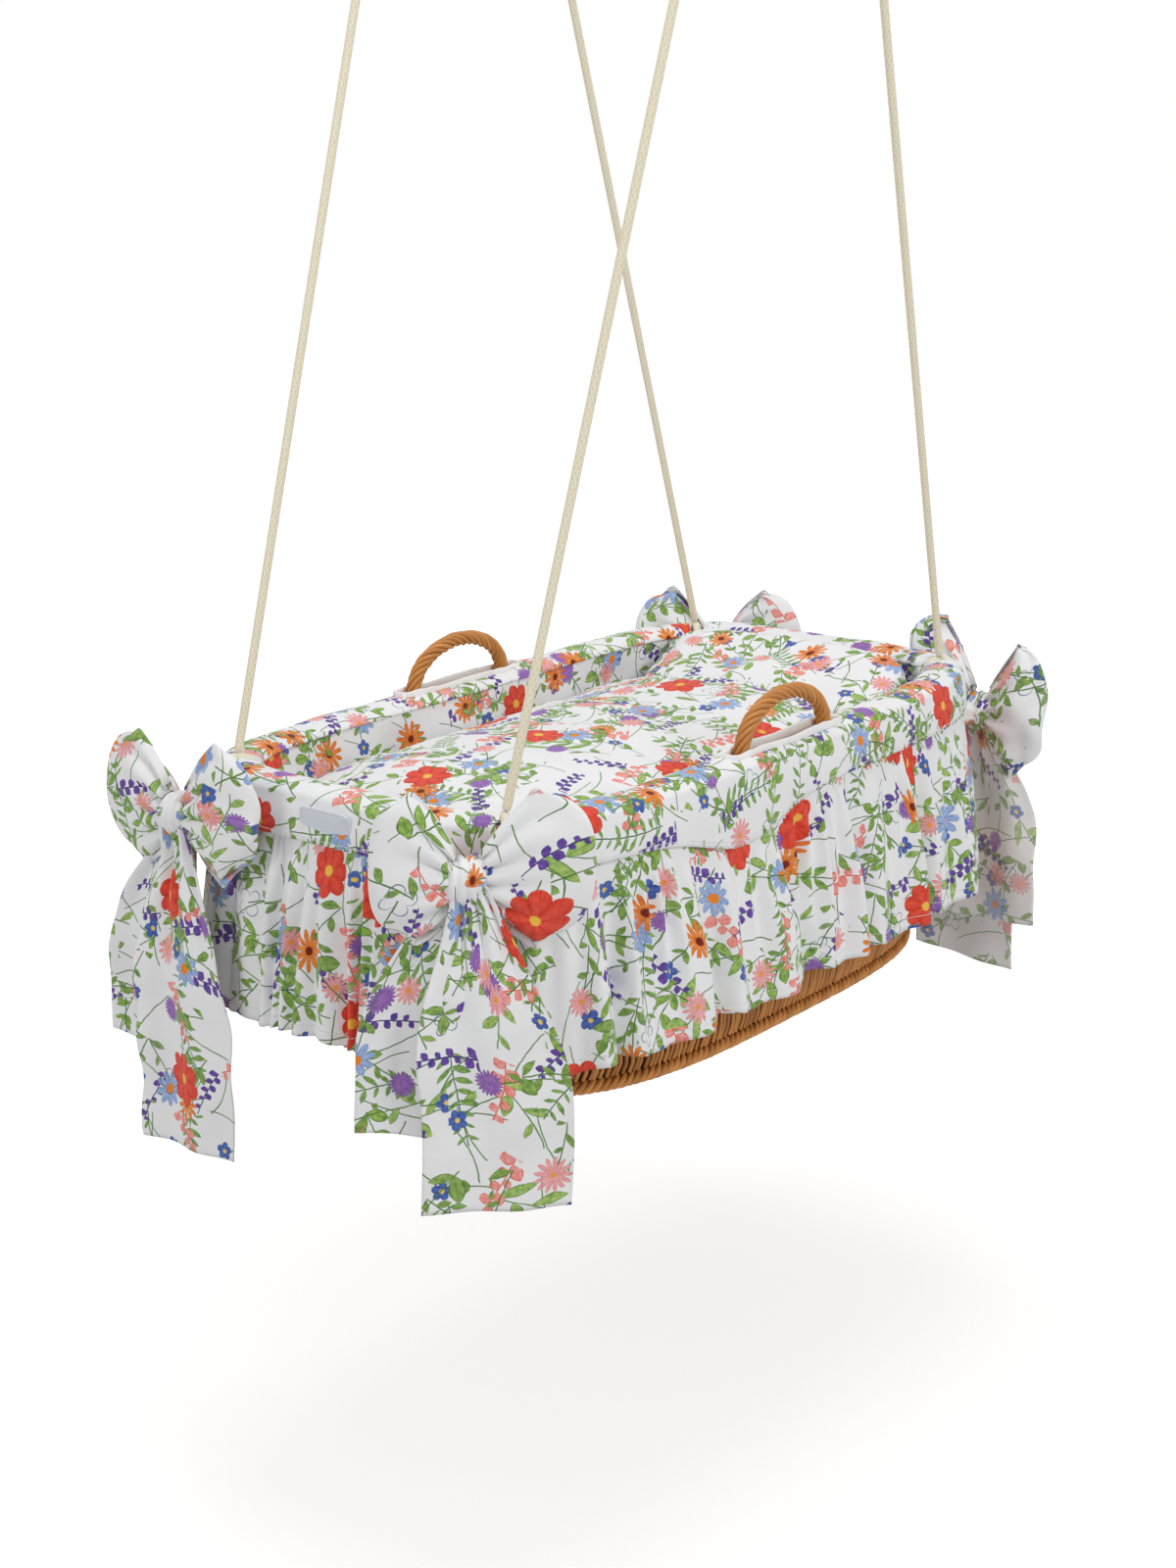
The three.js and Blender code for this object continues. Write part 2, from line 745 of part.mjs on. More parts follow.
// A sash tied in a bow, with its knot standing off the cover's face.
function bow(shares) {
  const { point, out } = rimPoint(shares.end, shares.side, rimHalfLength - bowInset * shares.inset);
  const height = -bowDrop * shares.drop;
  const face = coverFace(height);
  const knot = point.clone().setZ(height).addScaledVector(out, face + bowStand * shares.stand);
  const seat = point.clone().setZ(height).addScaledVector(out, face + bowTieGap);
  const [leftLoop, rightLoop] = shares.loops;
  const [longTail, shortTail] = shares.tails;
  const [longShift, shortShift] = shares.shifts;
  const shape = fuse([
    bowKnot(),
    bowLoop(1, bowLoopLength * rightLoop),
    bowLoop(-1, bowLoopLength * leftLoop),
    bowTail(bowTailLength * longTail, bowTailShift * longShift, tailThickness * 2),
    bowTail(bowTailLength * shortTail, bowTailShift * shortShift, -tailThickness / 2),
  ]);
  shape.rotateZ(THREE.MathUtils.degToRad(shares.facing));
  shape.translate(knot.x, knot.y, knot.z);
  return fuse([shape, roundBar(knot, seat, bowTieRadius, 1, 8)]);
}

// Each bow's place and lengths, as shares of the sizes above. Facing is in degrees. Left and
// right are as seen from outside, and a shift moves a tail's end to the right.
const bowShares = [
  {
    name: 'bow_foot_left',
    end: -1,
    side: 1,
    facing: 176,
    inset: 0.8,
    stand: 0.97,
    drop: 1,
    loops: [0.9, 1.04],
    tails: [1.192, 0.888],
    shifts: [0.4, -1.44],
  },
  {
    name: 'bow_foot_right',
    end: -1,
    side: -1,
    facing: 218,
    inset: 0.93,
    stand: 0.94,
    drop: 0.95,
    loops: [0.76, 1],
    tails: [1.072, 0.84],
    shifts: [0.88, -1.2],
  },
  {
    name: 'bow_head_left',
    end: 1,
    side: 1,
    facing: 6,
    inset: 1,
    stand: 1,
    drop: 1.1,
    loops: [1.08, 1.06],
    tails: [1.14, 0.888],
    shifts: [0.56, -1.12],
  },
  {
    name: 'bow_head_right',
    end: 1,
    side: -1,
    facing: -4,
    inset: 1,
    stand: 1.06,
    drop: 1.6,
    loops: [0.76, 0.92],
    tails: [1.08, 0.868],
    shifts: [0.96, -0.32],
  },
];

// Ropes and their fittings

// A rope's line: from the bottom of its ceiling eye, where it hooks in, to its rim loop.
function ropeLine({ end, side }) {
  const { centre, out } = cornerAt(end, side);
  const border = centre.clone();
  border.z += rimRise(centre.x, centre.z) - hangingHeight;
  const eye = new THREE.Vector3(
    (end * eyeSpacingLength) / 2 + eyeShiftToHead,
    (side * eyeSpacingWidth) / 2,
    -plateThickness - shankLength - eyeRadius + eyeBar / 2,
  );
  const hook = eye.clone();
  hook.z -= eyeRadius;
  const loopTop = border.clone();
  loopTop.z += loopRadius;
  const along = loopTop.clone().sub(hook).normalize();
  const at = (distance) => hook.clone().addScaledVector(along, distance);
  return { border, out, eye, hook, loopTop, along, at };
}

// Distances down a rope's line from its hook.
const linkCentre = linkRadius - eyeBar - linkBar - ringGap;
const linkBottom = linkCentre + linkRadius;
const ropeEyeCentre = linkBottom - linkBar - ropeRadius - ringGap + ropeEyeRadius;
const whippingTop = ropeEyeCentre + ropeEyeRadius - ropeRadius / 2;
const ropeTop = whippingTop + whippingLength + gap;

function ceilingEye(line) {
  const y = new THREE.Vector3(0, 1, 0);
  const z = new THREE.Vector3(0, 0, 1);
  const top = line.eye.clone().setZ(0);
  const under = top.clone().setZ(-plateThickness);
  const plate = roundBar(top, under, plateRadius, 1, 20);
  const shankEnd = line.eye.clone();
  shankEnd.z += eyeRadius;
  const shank = roundBar(under.clone().setZ(-plateThickness / 2), shankEnd, shankRadius, 1, 8);
  return fuse([plate, shank, roundLoop(line.eye, z, y, eyeRadius, eyeBar, 14, 6)]);
}

function link(line) {
  const across = line.along.clone().cross(new THREE.Vector3(0, 1, 0)).normalize();
  return roundLoop(line.at(linkCentre), line.along, across, linkRadius, linkBar, 16, 6);
}

function ropeEye(line) {
  const y = new THREE.Vector3(0, 1, 0);
  const across = y.clone().addScaledVector(line.along, -y.dot(line.along)).normalize();
  return fuse([
    roundLoop(line.at(ropeEyeCentre), line.along, across, ropeEyeRadius, ropeRadius, 14, 6),
    roundBar(line.at(whippingTop), line.at(whippingTop + whippingLength), whippingRadius, 1, 10),
  ]);
}

function rope(line) {
  const end = line.hook.distanceTo(line.loopTop) - ropeRadius - ropeEndGap;
  const steps = Math.round((end - ropeTop) / ropeStep);
  const first = new THREE.Vector3(0, 1, 0).cross(line.along).normalize();
  const second = line.along.clone().cross(first);
  const rings = [];
  for (let k = 0; k <= steps; k += 1) {
    const centre = line.at(THREE.MathUtils.lerp(ropeTop, end - ropeRadius / 2, k / steps));
    rings.push(sectionRing(centre, first, second, ropeRadius, ropeRadius, tubeSides));
  }
  const tip = ropeRadius * ropeEndShare;
  rings.push(sectionRing(line.at(end), first, second, tip, tip, tubeSides));
  return cappedSolid(rings);
}

function rimLoop(line) {
  const up = new THREE.Vector3(0, 0, 1);
  return roundLoop(line.border, up, line.out, loopRadius, ropeRadius, 14, tubeSides);
}

// Assembly

function piece(name, geometry, finish) {
  const mesh = new THREE.Mesh(geometry, new THREE.MeshStandardMaterial(finish));
  mesh.name = name;
  return mesh;
}

// Gives a basket piece the rim's rise towards the head end.
function raiseHead(geometry) {
  const points = geometry.getAttribute('position');
  for (let k = 0; k < points.count; k += 1) {
    points.setZ(k, points.getZ(k) + rimRise(points.getX(k), points.getZ(k)));
  }
  return geometry;
}

const basket = new THREE.Group();
basket.name = 'basket';
basket.position.z = -hangingHeight;

const basketPieces = [
  ['base_board', baseBoard(), wicker],
  ['wall_weave', wall(), wicker],
  ['rim_border', rimBorder(), wicker],
  ['foot_border', footBorder(), wicker],
  ['handle_left', handle(1), wicker],
  ['handle_right', handle(-1), wicker],
  ['liner', liner(), cotton],
  ['collar', collar(), cotton],
  ['ruffle', ruffle(), cotton],
  ['slit_binding_left', slitBinding(1), { color: '#fbfbfa', roughness: 0.85 }],
  ['slit_binding_right', slitBinding(-1), { color: '#fbfbfa', roughness: 0.85 }],
  ['label_patch', labelPatch(), { color: '#e9eaec', roughness: 0.7 }],
  ['mattress', mattress(), { color: '#f4f2ee', roughness: 0.95 }],
  ['quilt', quilt(), cotton],
  ['pillow', pillow(), cotton],
];
for (const [name, geometry, finish] of basketPieces) {
  basket.add(piece(name, raiseHead(geometry), finish));
}
for (const shares of bowShares) basket.add(piece(shares.name, raiseHead(bow(shares)), cotton));

const hanging = new THREE.Group();
hanging.name = 'hanging';
for (const corner of corners) {
  const line = ropeLine(corner);
  hanging.add(piece(`ceiling_eye_${corner.name}`, ceilingEye(line), steel));
  hanging.add(piece(`link_${corner.name}`, link(line), steel));
  hanging.add(piece(`rope_eye_${corner.name}`, ropeEye(line), cord));
  hanging.add(piece(`rope_${corner.name}`, rope(line), cord));
  hanging.add(piece(`rim_loop_${corner.name}`, rimLoop(line), cord));
}

const cradle = new THREE.Group();
cradle.name = 'hanging_baby_cradle';
cradle.add(basket, hanging);

export default cradle;
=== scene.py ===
"""Looks of a hanging baby cradle: a wicker basket in a printed cotton cover, hung by four ropes.

Metres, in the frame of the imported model: +X runs to the head end, +Y to the left side, +Z up, and
the origin lies on the ceiling plane above the middle of the basket.
"""

import logging
import math
from dataclasses import dataclass
from enum import Enum
from typing import Iterable, Sequence

import bmesh
import bpy
import numpy as np
from mathutils import Matrix, Vector


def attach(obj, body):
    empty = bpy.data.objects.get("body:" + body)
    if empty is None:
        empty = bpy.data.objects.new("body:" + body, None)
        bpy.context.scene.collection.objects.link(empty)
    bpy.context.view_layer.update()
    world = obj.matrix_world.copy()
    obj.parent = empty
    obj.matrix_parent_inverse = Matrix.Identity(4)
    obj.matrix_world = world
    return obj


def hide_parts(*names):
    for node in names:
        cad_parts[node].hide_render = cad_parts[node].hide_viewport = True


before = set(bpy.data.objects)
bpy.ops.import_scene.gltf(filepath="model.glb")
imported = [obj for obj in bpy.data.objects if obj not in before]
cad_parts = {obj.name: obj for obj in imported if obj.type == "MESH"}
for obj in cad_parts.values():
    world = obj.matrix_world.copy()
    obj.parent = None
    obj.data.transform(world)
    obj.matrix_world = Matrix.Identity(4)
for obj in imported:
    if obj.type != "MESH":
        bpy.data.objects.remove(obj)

LOG = logging.getLogger("cradle")
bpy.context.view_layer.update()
HANGING_HEIGHT = 0.795  # from the ceiling down to the cover's rim
TURN = 2 * np.pi
WAVE_RADIANS = 6.283  # of one wave in the cloth's weave
UP = np.array([0.0, 0.0, 1.0])
WELD = 1e-6  # a mesh's points closer than this become one


# Node trees


class Term:
    """A number inside a node tree. Arithmetic on it adds Math nodes."""

    def __init__(self, book: "NodeBook", socket: bpy.types.NodeSocket) -> None:
        """Keeps the tree's book and the socket that gives the number."""
        self.book = book
        self.socket = socket

    def apply(self, operation: str, *others: "Term | float", clamp: bool = False) -> "Term":
        """Adds a Math node with this number as its first input.

        Args:
            operation: Blender's name of the operation.
            others: the further inputs.
            clamp: whether the result is held between 0 and 1.

        Returns:
            The result.
        """
        node = self.book.tree.nodes.new("ShaderNodeMath")
        node.operation = operation
        node.use_clamp = clamp
        for index, value in enumerate((self, *others)):
            self.book.feed(node.inputs[index], value)
        return Term(self.book, node.outputs[0])

    def __add__(self, other: "Term | float") -> "Term":
        """Sum."""
        return self.apply("ADD", other)

    __radd__ = __add__

    def __sub__(self, other: "Term | float") -> "Term":
        """Difference."""
        return self.apply("SUBTRACT", other)

    def __rsub__(self, other: float) -> "Term":
        """Difference from a number."""
        return self.apply("MULTIPLY_ADD", -1.0, other)

    def __mul__(self, other: "Term | float") -> "Term":
        """Product."""
        return self.apply("MULTIPLY", other)

    __rmul__ = __mul__

    def __truediv__(self, other: "Term | float") -> "Term":
        """Quotient."""
        return self.apply("DIVIDE", other)

    def __abs__(self) -> "Term":
        """Size without sign."""
        return self.apply("ABSOLUTE")

    def __pow__(self, other: "Term | float") -> "Term":
        """Power."""
        return self.apply("POWER", other)

    def clamped(self) -> "Term":
        """The number held between 0 and 1."""
        return self.apply("ADD", 0.0, clamp=True)

    def inside(self, limit: "Term | float", edge: float) -> "Term":
        """1 where the number is below a limit and 0 above it, with a soft edge of the width given."""
        return ((self * -1.0 + limit) / edge + 0.5).clamped()


Value = Term | float | Sequence[float] | bpy.types.NodeSocket


class NodeBook:
    """Adds and links the nodes of one tree."""

    def __init__(self, tree: bpy.types.NodeTree) -> None:
        """Keeps the tree."""
        self.tree = tree

    def feed(self, socket: bpy.types.NodeSocket, value: Value) -> None:
        """Links a socket, or sets its value.

        Args:
            socket: the input.
            value: a term, another node's output, or a plain value.
        """
        if isinstance(value, Term):
            value = value.socket
        if isinstance(value, bpy.types.NodeSocket):
            self.tree.links.new(value, socket)
        else:
            socket.default_value = value

    def fill(self, node: bpy.types.Node, inputs: dict[str | int, Value]) -> None:
        """Feeds a node's inputs, each by its name or index."""
        for key, value in inputs.items():
            self.feed(node.inputs[key], value)

    def add(self, kind: str, inputs: dict[str | int, Value] | None = None,
            **settings: object) -> bpy.types.Node:
        """Adds one node.

        Args:
            kind: the node's type name.
            inputs: values or links by input name or index.
            settings: the node's own properties.

        Returns:
            The node.
        """
        node = self.tree.nodes.new(kind)
        for name, value in settings.items():
            setattr(node, name, value)
        self.fill(node, inputs or {})
        return node

    def term(self, socket: bpy.types.NodeSocket) -> Term:
        """A socket as a number."""
        return Term(self, socket)

    def noise(self, vector: Value, scale: float, detail: float = 2.0, roughness: float = 0.5) -> Term:
        """Noise on a vector, about 0.5 on average."""
        inputs = {"Vector": vector, "Scale": scale, "Detail": detail, "Roughness": roughness}
        return self.term(self.add("ShaderNodeTexNoise", inputs).outputs["Fac"])

    def blend(self, factor: Value, first: Value, second: Value, way: str = "MIX") -> bpy.types.NodeSocket:
        """Mixes two colours.

        Args:
            factor: share of the second.
            first: the colour at 0.
            second: the colour at 1.
            way: Blender's name of the blend.

        Returns:
            The colour output.
        """
        node = self.add("ShaderNodeMix", data_type="RGBA", blend_type=way)
        self.feed(node.inputs[0], factor)
        self.feed(node.inputs[6], first)
        self.feed(node.inputs[7], second)
        return node.outputs[2]

    def parts(self, vector: Value) -> tuple[Term, Term, Term]:
        """The three numbers of a vector."""
        node = self.add("ShaderNodeSeparateXYZ", {0: vector})
        return tuple(self.term(output) for output in node.outputs)

    def joined(self, x: Value, y: Value, z: Value = 0.0) -> bpy.types.NodeSocket:
        """A vector from three numbers."""
        return self.add("ShaderNodeCombineXYZ", {0: x, 1: y, 2: z}).outputs[0]

    def vector(self, operation: str, first: Value, second: Value = (0.0, 0.0, 0.0)) -> bpy.types.NodeSocket:
        """A vector sum, product or the like."""
        node = self.add("ShaderNodeVectorMath", {0: first, 1: second}, operation=operation)
        return node.outputs[0]

    def bump(self, height: Term, strength: float, distance: float, **under: Value) -> bpy.types.NodeSocket:
        """A fine relief, over another one where that is given as Normal."""
        inputs = {"Height": height, "Strength": strength, "Distance": distance, **under}
        return self.add("ShaderNodeBump", inputs).outputs[0]

    def place(self) -> bpy.types.NodeSocket:
        """Where a point lies on its object."""
        return self.add("ShaderNodeTexCoord").outputs["Object"]

    def tone(self) -> Term:
        """The mesh's tone attribute at a point: a rod's own tone, or on braided cord painted shade between
        strands.
        """
        return self.term(self.add("ShaderNodeAttribute", attribute_name="tone").outputs["Fac"])

    def seen(self) -> Term:
        """1 where light goes to the camera, straight or by way of a mirror or clear glass."""
        rays = self.add("ShaderNodeLightPath").outputs
        seen = self.term(rays["Is Camera Ray"]).apply("MAXIMUM", rays["Is Glossy Ray"])
        return seen.apply("MAXIMUM", rays["Is Transmission Ray"])


def colour(code: str) -> tuple[float, float, float, float]:
    """A colour as written in a picture, in Blender's linear numbers.

    Args:
        code: six hexadecimal digits.

    Returns:
        Red, green, blue and full cover.
    """
    shares = [int(code[index : index + 2], 16) / 255 for index in (0, 2, 4)]
    linear = [share / 12.92 if share <= 0.04045 else ((share + 0.055) / 1.055) ** 2.4 for share in shares]
    return (*linear, 1.0)


def darker(code: str, share: float) -> tuple[float, float, float, float]:
    """A colour as written in a picture, with its red, green and blue taken down to a share."""
    return (*(part * share for part in colour(code)[:3]), 1.0)


# Finishes


@dataclass(frozen=True)
class Motif:
    """One kind of plant in the cotton's print, scattered on a lattice. Lengths in metres."""

    cell: float
    shift: tuple[float, float, float]
    presence: float
    stem: float
    bend: float
    leaf: float
    pitch: float
    slant: float
    breadth: float
    alternate: float
    leaf_colour: str
    leaf_tint: str
    flower: float = 0.0
    petals: float = 5.0
    heart: float = 0.6
    centre: float = 0.0
    petal_colour: str = "ffffff"
    petal_tint: str = "ffffff"
    centre_colour: str = "3a2430"
    outlined: bool = False

    def inputs(self) -> dict[str, Value]:
        """The plant's values, by the name of the input that takes them."""
        values = {name.replace("_", " ").title(): value for name, value in vars(self).items()}
        return {name: colour(value) if isinstance(value, str) else value for name, value in values.items()}


LEAF, SHADE = "9cbb62", "4f7b36"
MOTIFS = (
    Motif(0.057, (0.2, 0.7, 0), 0.85, 0.054, 7.5, 0.0, 0.05, 0.9, 0.1, 0, "86a658", "5c8438"),
    Motif(0.044, (6.6, 2.2, 0), 0.6, 0.040, -9.0, 0.0, 0.05, 0.9, 0.1, 0, "86a658", "4f7a33"),
    Motif(0.079, (0.0, 0.0, 0), 0.76, 0.062, 3.5, 0.0190, 0.0150, 0.8, 0.19, 0, "a9cc66", "4c7a33"),
    Motif(0.086, (3.3, 5.1, 0), 0.76, 0.060, -4.5, 0.0250, 0.0260, 0.75, 0.17, 1, "bcd67c", "5a8a3c"),
    Motif(0.098, (2.1, 9.6, 0), 0.60, 0.070, 2.5, 0.0150, 0.0085, 1.05, 0.14, 0, "9dc467", "3f7036"),
    Motif(0.071, (7.7, 1.9, 0), 0.70, 0.044, 3.0, 0.0088, 0.0090, 0.95, 0.36, 1, "8059b4", "3d2c7c"),
    Motif(0.086, (1.4, 8.2, 0), 0.62, 0.046, -3.0, 0.0118, 0.0118, 1.0, 0.40, 1, "f6b5ae", "e66552"),
    Motif(0.062, (5.9, 3.6, 0), 0.62, 0.036, 4.0, 0.012, 0.022, 0.7, 0.20, 0, LEAF, SHADE,
          0.0080, 5, 0.62, 0.0018, "5f7cc6", "27408c", "f2cf5a"),
    Motif(0.086, (9.1, 6.4, 0), 0.70, 0.046, 3.0, 0.0150, 0.026, 0.7, 0.20, 1, LEAF, SHADE,
          0.0105, 19, 0.66, 0.0, "b184ca", "643691", "643691"),
    Motif(0.112, (2.6, 4.4, 0), 0.78, 0.054, -2.5, 0.018, 0.030, 0.75, 0.20, 0, LEAF, SHADE,
          0.0165, 9, 0.42, 0.0042, "b4c9ea", "6487c4", "ee8a2b"),
    Motif(0.104, (6.2, 9.3, 0), 0.74, 0.050, 2.5, 0.017, 0.028, 0.75, 0.18, 1, LEAF, SHADE,
          0.0160, 11, 0.22, 0.0034, "f79f42", "cb381b", "7a2a1c"),
    Motif(0.090, (8.4, 2.2, 0), 0.68, 0.042, -3.5, 0.014, 0.024, 0.75, 0.20, 1, LEAF, SHADE,
          0.0130, 13, 0.34, 0.0022, "f7beb9", "de6f80", "f0a04a"),
    Motif(0.101, (3.7, 1.2, 0), 0.60, 0.036, 3.5, 0.013, 0.024, 0.75, 0.18, 1, "a8bf86", SHADE,
          0.0120, 4, 0.42, 0.0, "2c4288", "2c4288", "2c4288", True),
    Motif(0.146, (4.8, 7.5, 0), 0.74, 0.062, 2.0, 0.022, 0.030, 0.8, 0.22, 0, "a3c06a", SHADE,
          0.0220, 7, 0.74, 0.0040, "f2604a", "c8251a", "f3c24e"),
)


def motif_group() -> bpy.types.NodeTree:
    """The node group that draws one kind of plant: a stem with leaves and a flower at its top.

    Returns:
        The group, with a colour and a mask as its outputs.
    """
    group = bpy.data.node_groups.new("wildflower", "ShaderNodeTree")
    book = NodeBook(group)
    kinds = {3: "NodeSocketVector", 4: "NodeSocketColor"}
    for name, value in {"Vector": (0.0, 0.0, 0.0), **MOTIFS[0].inputs()}.items():
        kind = kinds[len(value)] if isinstance(value, tuple) else "NodeSocketFloat"
        group.interface.new_socket(name, in_out="INPUT", socket_type=kind)
    group.interface.new_socket("Colour", in_out="OUTPUT", socket_type="NodeSocketColor")
    group.interface.new_socket("Mask", in_out="OUTPUT", socket_type="NodeSocketFloat")
    given = book.add("NodeGroupInput")
    size = {name: book.term(output) for name, output in given.outputs.items()}

    # Where the plant stands, how it is turned, and its bent stem
    scale = book.joined(size["Cell"], size["Cell"], size["Cell"])
    place = book.vector("ADD", book.vector("DIVIDE", given.outputs["Vector"], scale), given.outputs["Shift"])
    cells = book.add("ShaderNodeTexVoronoi", {"Vector": place, "Scale": 1.0, "Randomness": 0.55},
                     voronoi_dimensions="2D", feature="F1")
    draw_one, draw_two, draw_three = book.parts(cells.outputs["Color"])
    local = book.vector("MULTIPLY", book.vector("SUBTRACT", place, cells.outputs["Position"]), scale)
    turned = book.add("ShaderNodeVectorRotate", {"Vector": local, "Angle": (draw_one - 0.5) * 3.4},
                      rotation_type="Z_AXIS")
    x, y, _ = book.parts(turned.outputs[0])
    down = size["Stem"] * 0.5 - y
    aside = x - size["Bend"] * down * down
    along = down.inside(size["Stem"], 0.0006) * (1.0 - down.inside(0.0, 0.0006))
    stem = abs(aside).inside(0.0005, 0.0004) * along

    # Leaves in two rows, slanting away from the stem
    side = aside.apply("GREATER_THAN", 0.0)
    run = down / size["Pitch"] + side * size["Alternate"] * 0.5
    mark = (run.apply("FLOOR") * 1.7 + side * 3.1 + draw_two * 40.0).apply("SINE") * 437.5
    chance = mark.apply("FRACT")
    lower = (down / (size["Stem"] + 1e-6)).clamped()
    leaf_size = size["Leaf"] * (0.72 + chance * 0.5) * (0.62 + lower * 0.45)
    below = run.apply("FRACT") * size["Pitch"]
    rise = size["Pitch"] * 0.92 - below
    out = abs(aside)
    sine, cosine = size["Slant"].apply("SINE"), size["Slant"].apply("COSINE")
    reach = out * sine + rise * cosine
    off = rise * sine - out * cosine
    middle = reach / (leaf_size + 1e-6) * 2.0 - 1.0
    width = (1.0 - middle * middle) * leaf_size * size["Breadth"]
    clear = 1.0 - down.inside(size["Flower"] * 1.15 + 0.001, 0.0006)
    leaf = abs(off).inside(width, 0.0005) * along * clear * size["Leaf"].apply("GREATER_THAN", 0.001)
    leaf = leaf * chance.apply("GREATER_THAN", 0.1)
    vein = abs(off).inside(0.0001, 0.0007).apply("MAXIMUM", abs(off).apply("GREATER_THAN", width * 0.78))

    # The flower at the stem's top
    above = down * -1.0
    radius = (x * x + above * above) ** 0.5
    angle = x.apply("ARCTAN2", above)
    ray = abs((angle * size["Petals"] * 0.5 + draw_two * 3.0).apply("COSINE"))
    reach_here = size["Flower"] * (0.8 + draw_two * 0.3)
    edge = reach_here * (size["Heart"] + (1.0 - size["Heart"]) * ray ** 0.7)
    bloom = radius.inside(edge, 0.0006) * size["Flower"].apply("GREATER_THAN", 0.001)
    flower = bloom * (1.0 - radius.inside(edge - 0.0007, 0.0005) * size["Outlined"])
    heart = radius.inside(size["Centre"], 0.0008) * size["Centre"].apply("GREATER_THAN", 0.0005)

    # The washes of paint on both
    wash = book.noise(given.outputs["Vector"], 260.0, 2.0)
    streak = abs((angle * 23.0 + draw_one * 9.0).apply("COSINE"))
    leaf_fill = book.blend((wash * 1.8 - 0.55 + vein * 0.55).clamped(), given.outputs["Leaf Colour"],
                           given.outputs["Leaf Tint"])
    outer = (radius / (reach_here + 1e-6)).clamped()
    petal_share = (outer * 0.25 + (1.0 - ray) * 0.4 + streak * 0.3 + wash * 1.1 - 0.6).clamped()
    petal_fill = book.blend(petal_share, given.outputs["Petal Colour"], given.outputs["Petal Tint"])
    greenery = book.blend(leaf, given.outputs["Leaf Tint"], leaf_fill)
    painted = book.blend(flower, greenery, petal_fill)
    painted = book.blend(heart, painted, given.outputs["Centre Colour"])
    here = draw_three.apply("LESS_THAN", size["Presence"])
    mask = stem.apply("MAXIMUM", leaf).apply("MAXIMUM", flower) * here
    result = book.add("NodeGroupOutput")
    book.feed(result.inputs["Colour"], painted)
    book.feed(result.inputs["Mask"], mask)
    return group


@dataclass(frozen=True)
class Cotton:
    """Cotton with a scattered wildflower print, or plain, drawn on the cloth's own UV metres."""

    name: str
    ground: str = "f4f4f5"
    motifs: tuple[Motif, ...] = MOTIFS
    strength: float = 1.0
    weave: float = 1900.0
    sheen: float = 0.12
    density: float = 0.89
    shake: float = 0.0016

    def make(self) -> bpy.types.Material:
        """Builds the material.

        Returns:
            The material.
        """
        material, book, shader = plain_material(self.name)
        cloth = book.add("ShaderNodeUVMap", uv_map="UVMap").outputs[0]
        ragged = book.add("ShaderNodeTexNoise", {"Vector": cloth, "Scale": 120.0, "Detail": 1.0})
        shake = book.vector("SUBTRACT", ragged.outputs["Color"], (0.5, 0.5, 0.5))
        spread = book.vector("MULTIPLY", cloth, (self.density, self.density, 1.0))
        drawn = book.vector("ADD", spread, book.vector("MULTIPLY", shake, (self.shake, self.shake, 0.0)))
        paint = book.blend(book.noise(cloth, 30.0), colour(self.ground), darker(self.ground, 0.955))
        for motif in self.motifs:
            plant = book.add("ShaderNodeGroup", node_tree=WILDFLOWER)
            book.fill(plant, {"Vector": drawn, **motif.inputs()})
            share = book.term(plant.outputs["Mask"]) * self.strength
            paint = book.blend(share, paint, plant.outputs["Colour"])
        wave = {"Vector": cloth, "Scale": self.weave / WAVE_RADIANS, "Distortion": 0.4}
        warp = book.add("ShaderNodeTexWave", wave, bands_direction="X").outputs["Fac"]
        weft = book.add("ShaderNodeTexWave", wave, bands_direction="Y").outputs["Fac"]
        threads = book.bump(book.term(warp) + book.term(weft), 0.12, 0.0002)
        book.fill(shader, {
            "Base Color": paint,
            "Normal": book.bump(book.noise(cloth, 26.0, 3.0, 0.55), 0.55, 0.004, Normal=threads),
            "Roughness": 0.86 + book.noise(cloth, 400.0) * 0.1,
            "Sheen Weight": self.sheen,
            "Sheen Roughness": 0.5,
            "Specular IOR Level": 0.2,
        })
        return material


@dataclass(frozen=True)
class Willow:
    """Stripped and oiled willow rods, each with its own tone."""

    name: str
    light: str = "e29f54"
    dark: str = "98581b"

    def make(self) -> bpy.types.Material:
        """Builds the material.

        Returns:
            The material.
        """
        material, book, shader = plain_material(self.name)
        place = book.place()
        streak = book.noise(book.vector("MULTIPLY", place, (1.0, 1.0, 0.25)), 420.0, 3.0, 0.6)
        share = book.tone() * 0.55 + streak * 0.55 + book.noise(place, 35.0, 2.0) * 0.35 - 0.28
        book.fill(shader, {
            "Base Color": book.blend(share.clamped(), colour(self.dark), colour(self.light)),
            "Roughness": 0.42 + streak * 0.25,
            "Normal": book.bump(streak, 0.35, 0.0006),
            "Specular IOR Level": 0.45,
        })
        return material


@dataclass(frozen=True)
class Cordage:
    """Soft braided cotton cord. The attribute tone is 1 on a strand's back and 0 between strands, where the
    darker colour is painted shade.
    """

    name: str
    light: str = "f1ead2"
    dark: str = "dbd0ae"

    def make(self) -> bpy.types.Material:
        """Builds the material.

        Returns:
            The material.
        """
        material, book, shader = plain_material(self.name)
        fibre = book.noise(book.place(), 1500.0, 3.0, 0.7)
        # Darker between strands: painted shade in the braid's grooves.
        share = (book.tone() * 1.15 + fibre * 0.4 - 0.1).clamped()
        book.fill(shader, {
            "Base Color": book.blend(share, colour(self.dark), colour(self.light)),
            "Normal": book.bump(fibre, 0.4, 0.0004),
            "Roughness": 0.9,
            "Sheen Weight": 0.2,
            "Specular IOR Level": 0.2,
        })
        return material


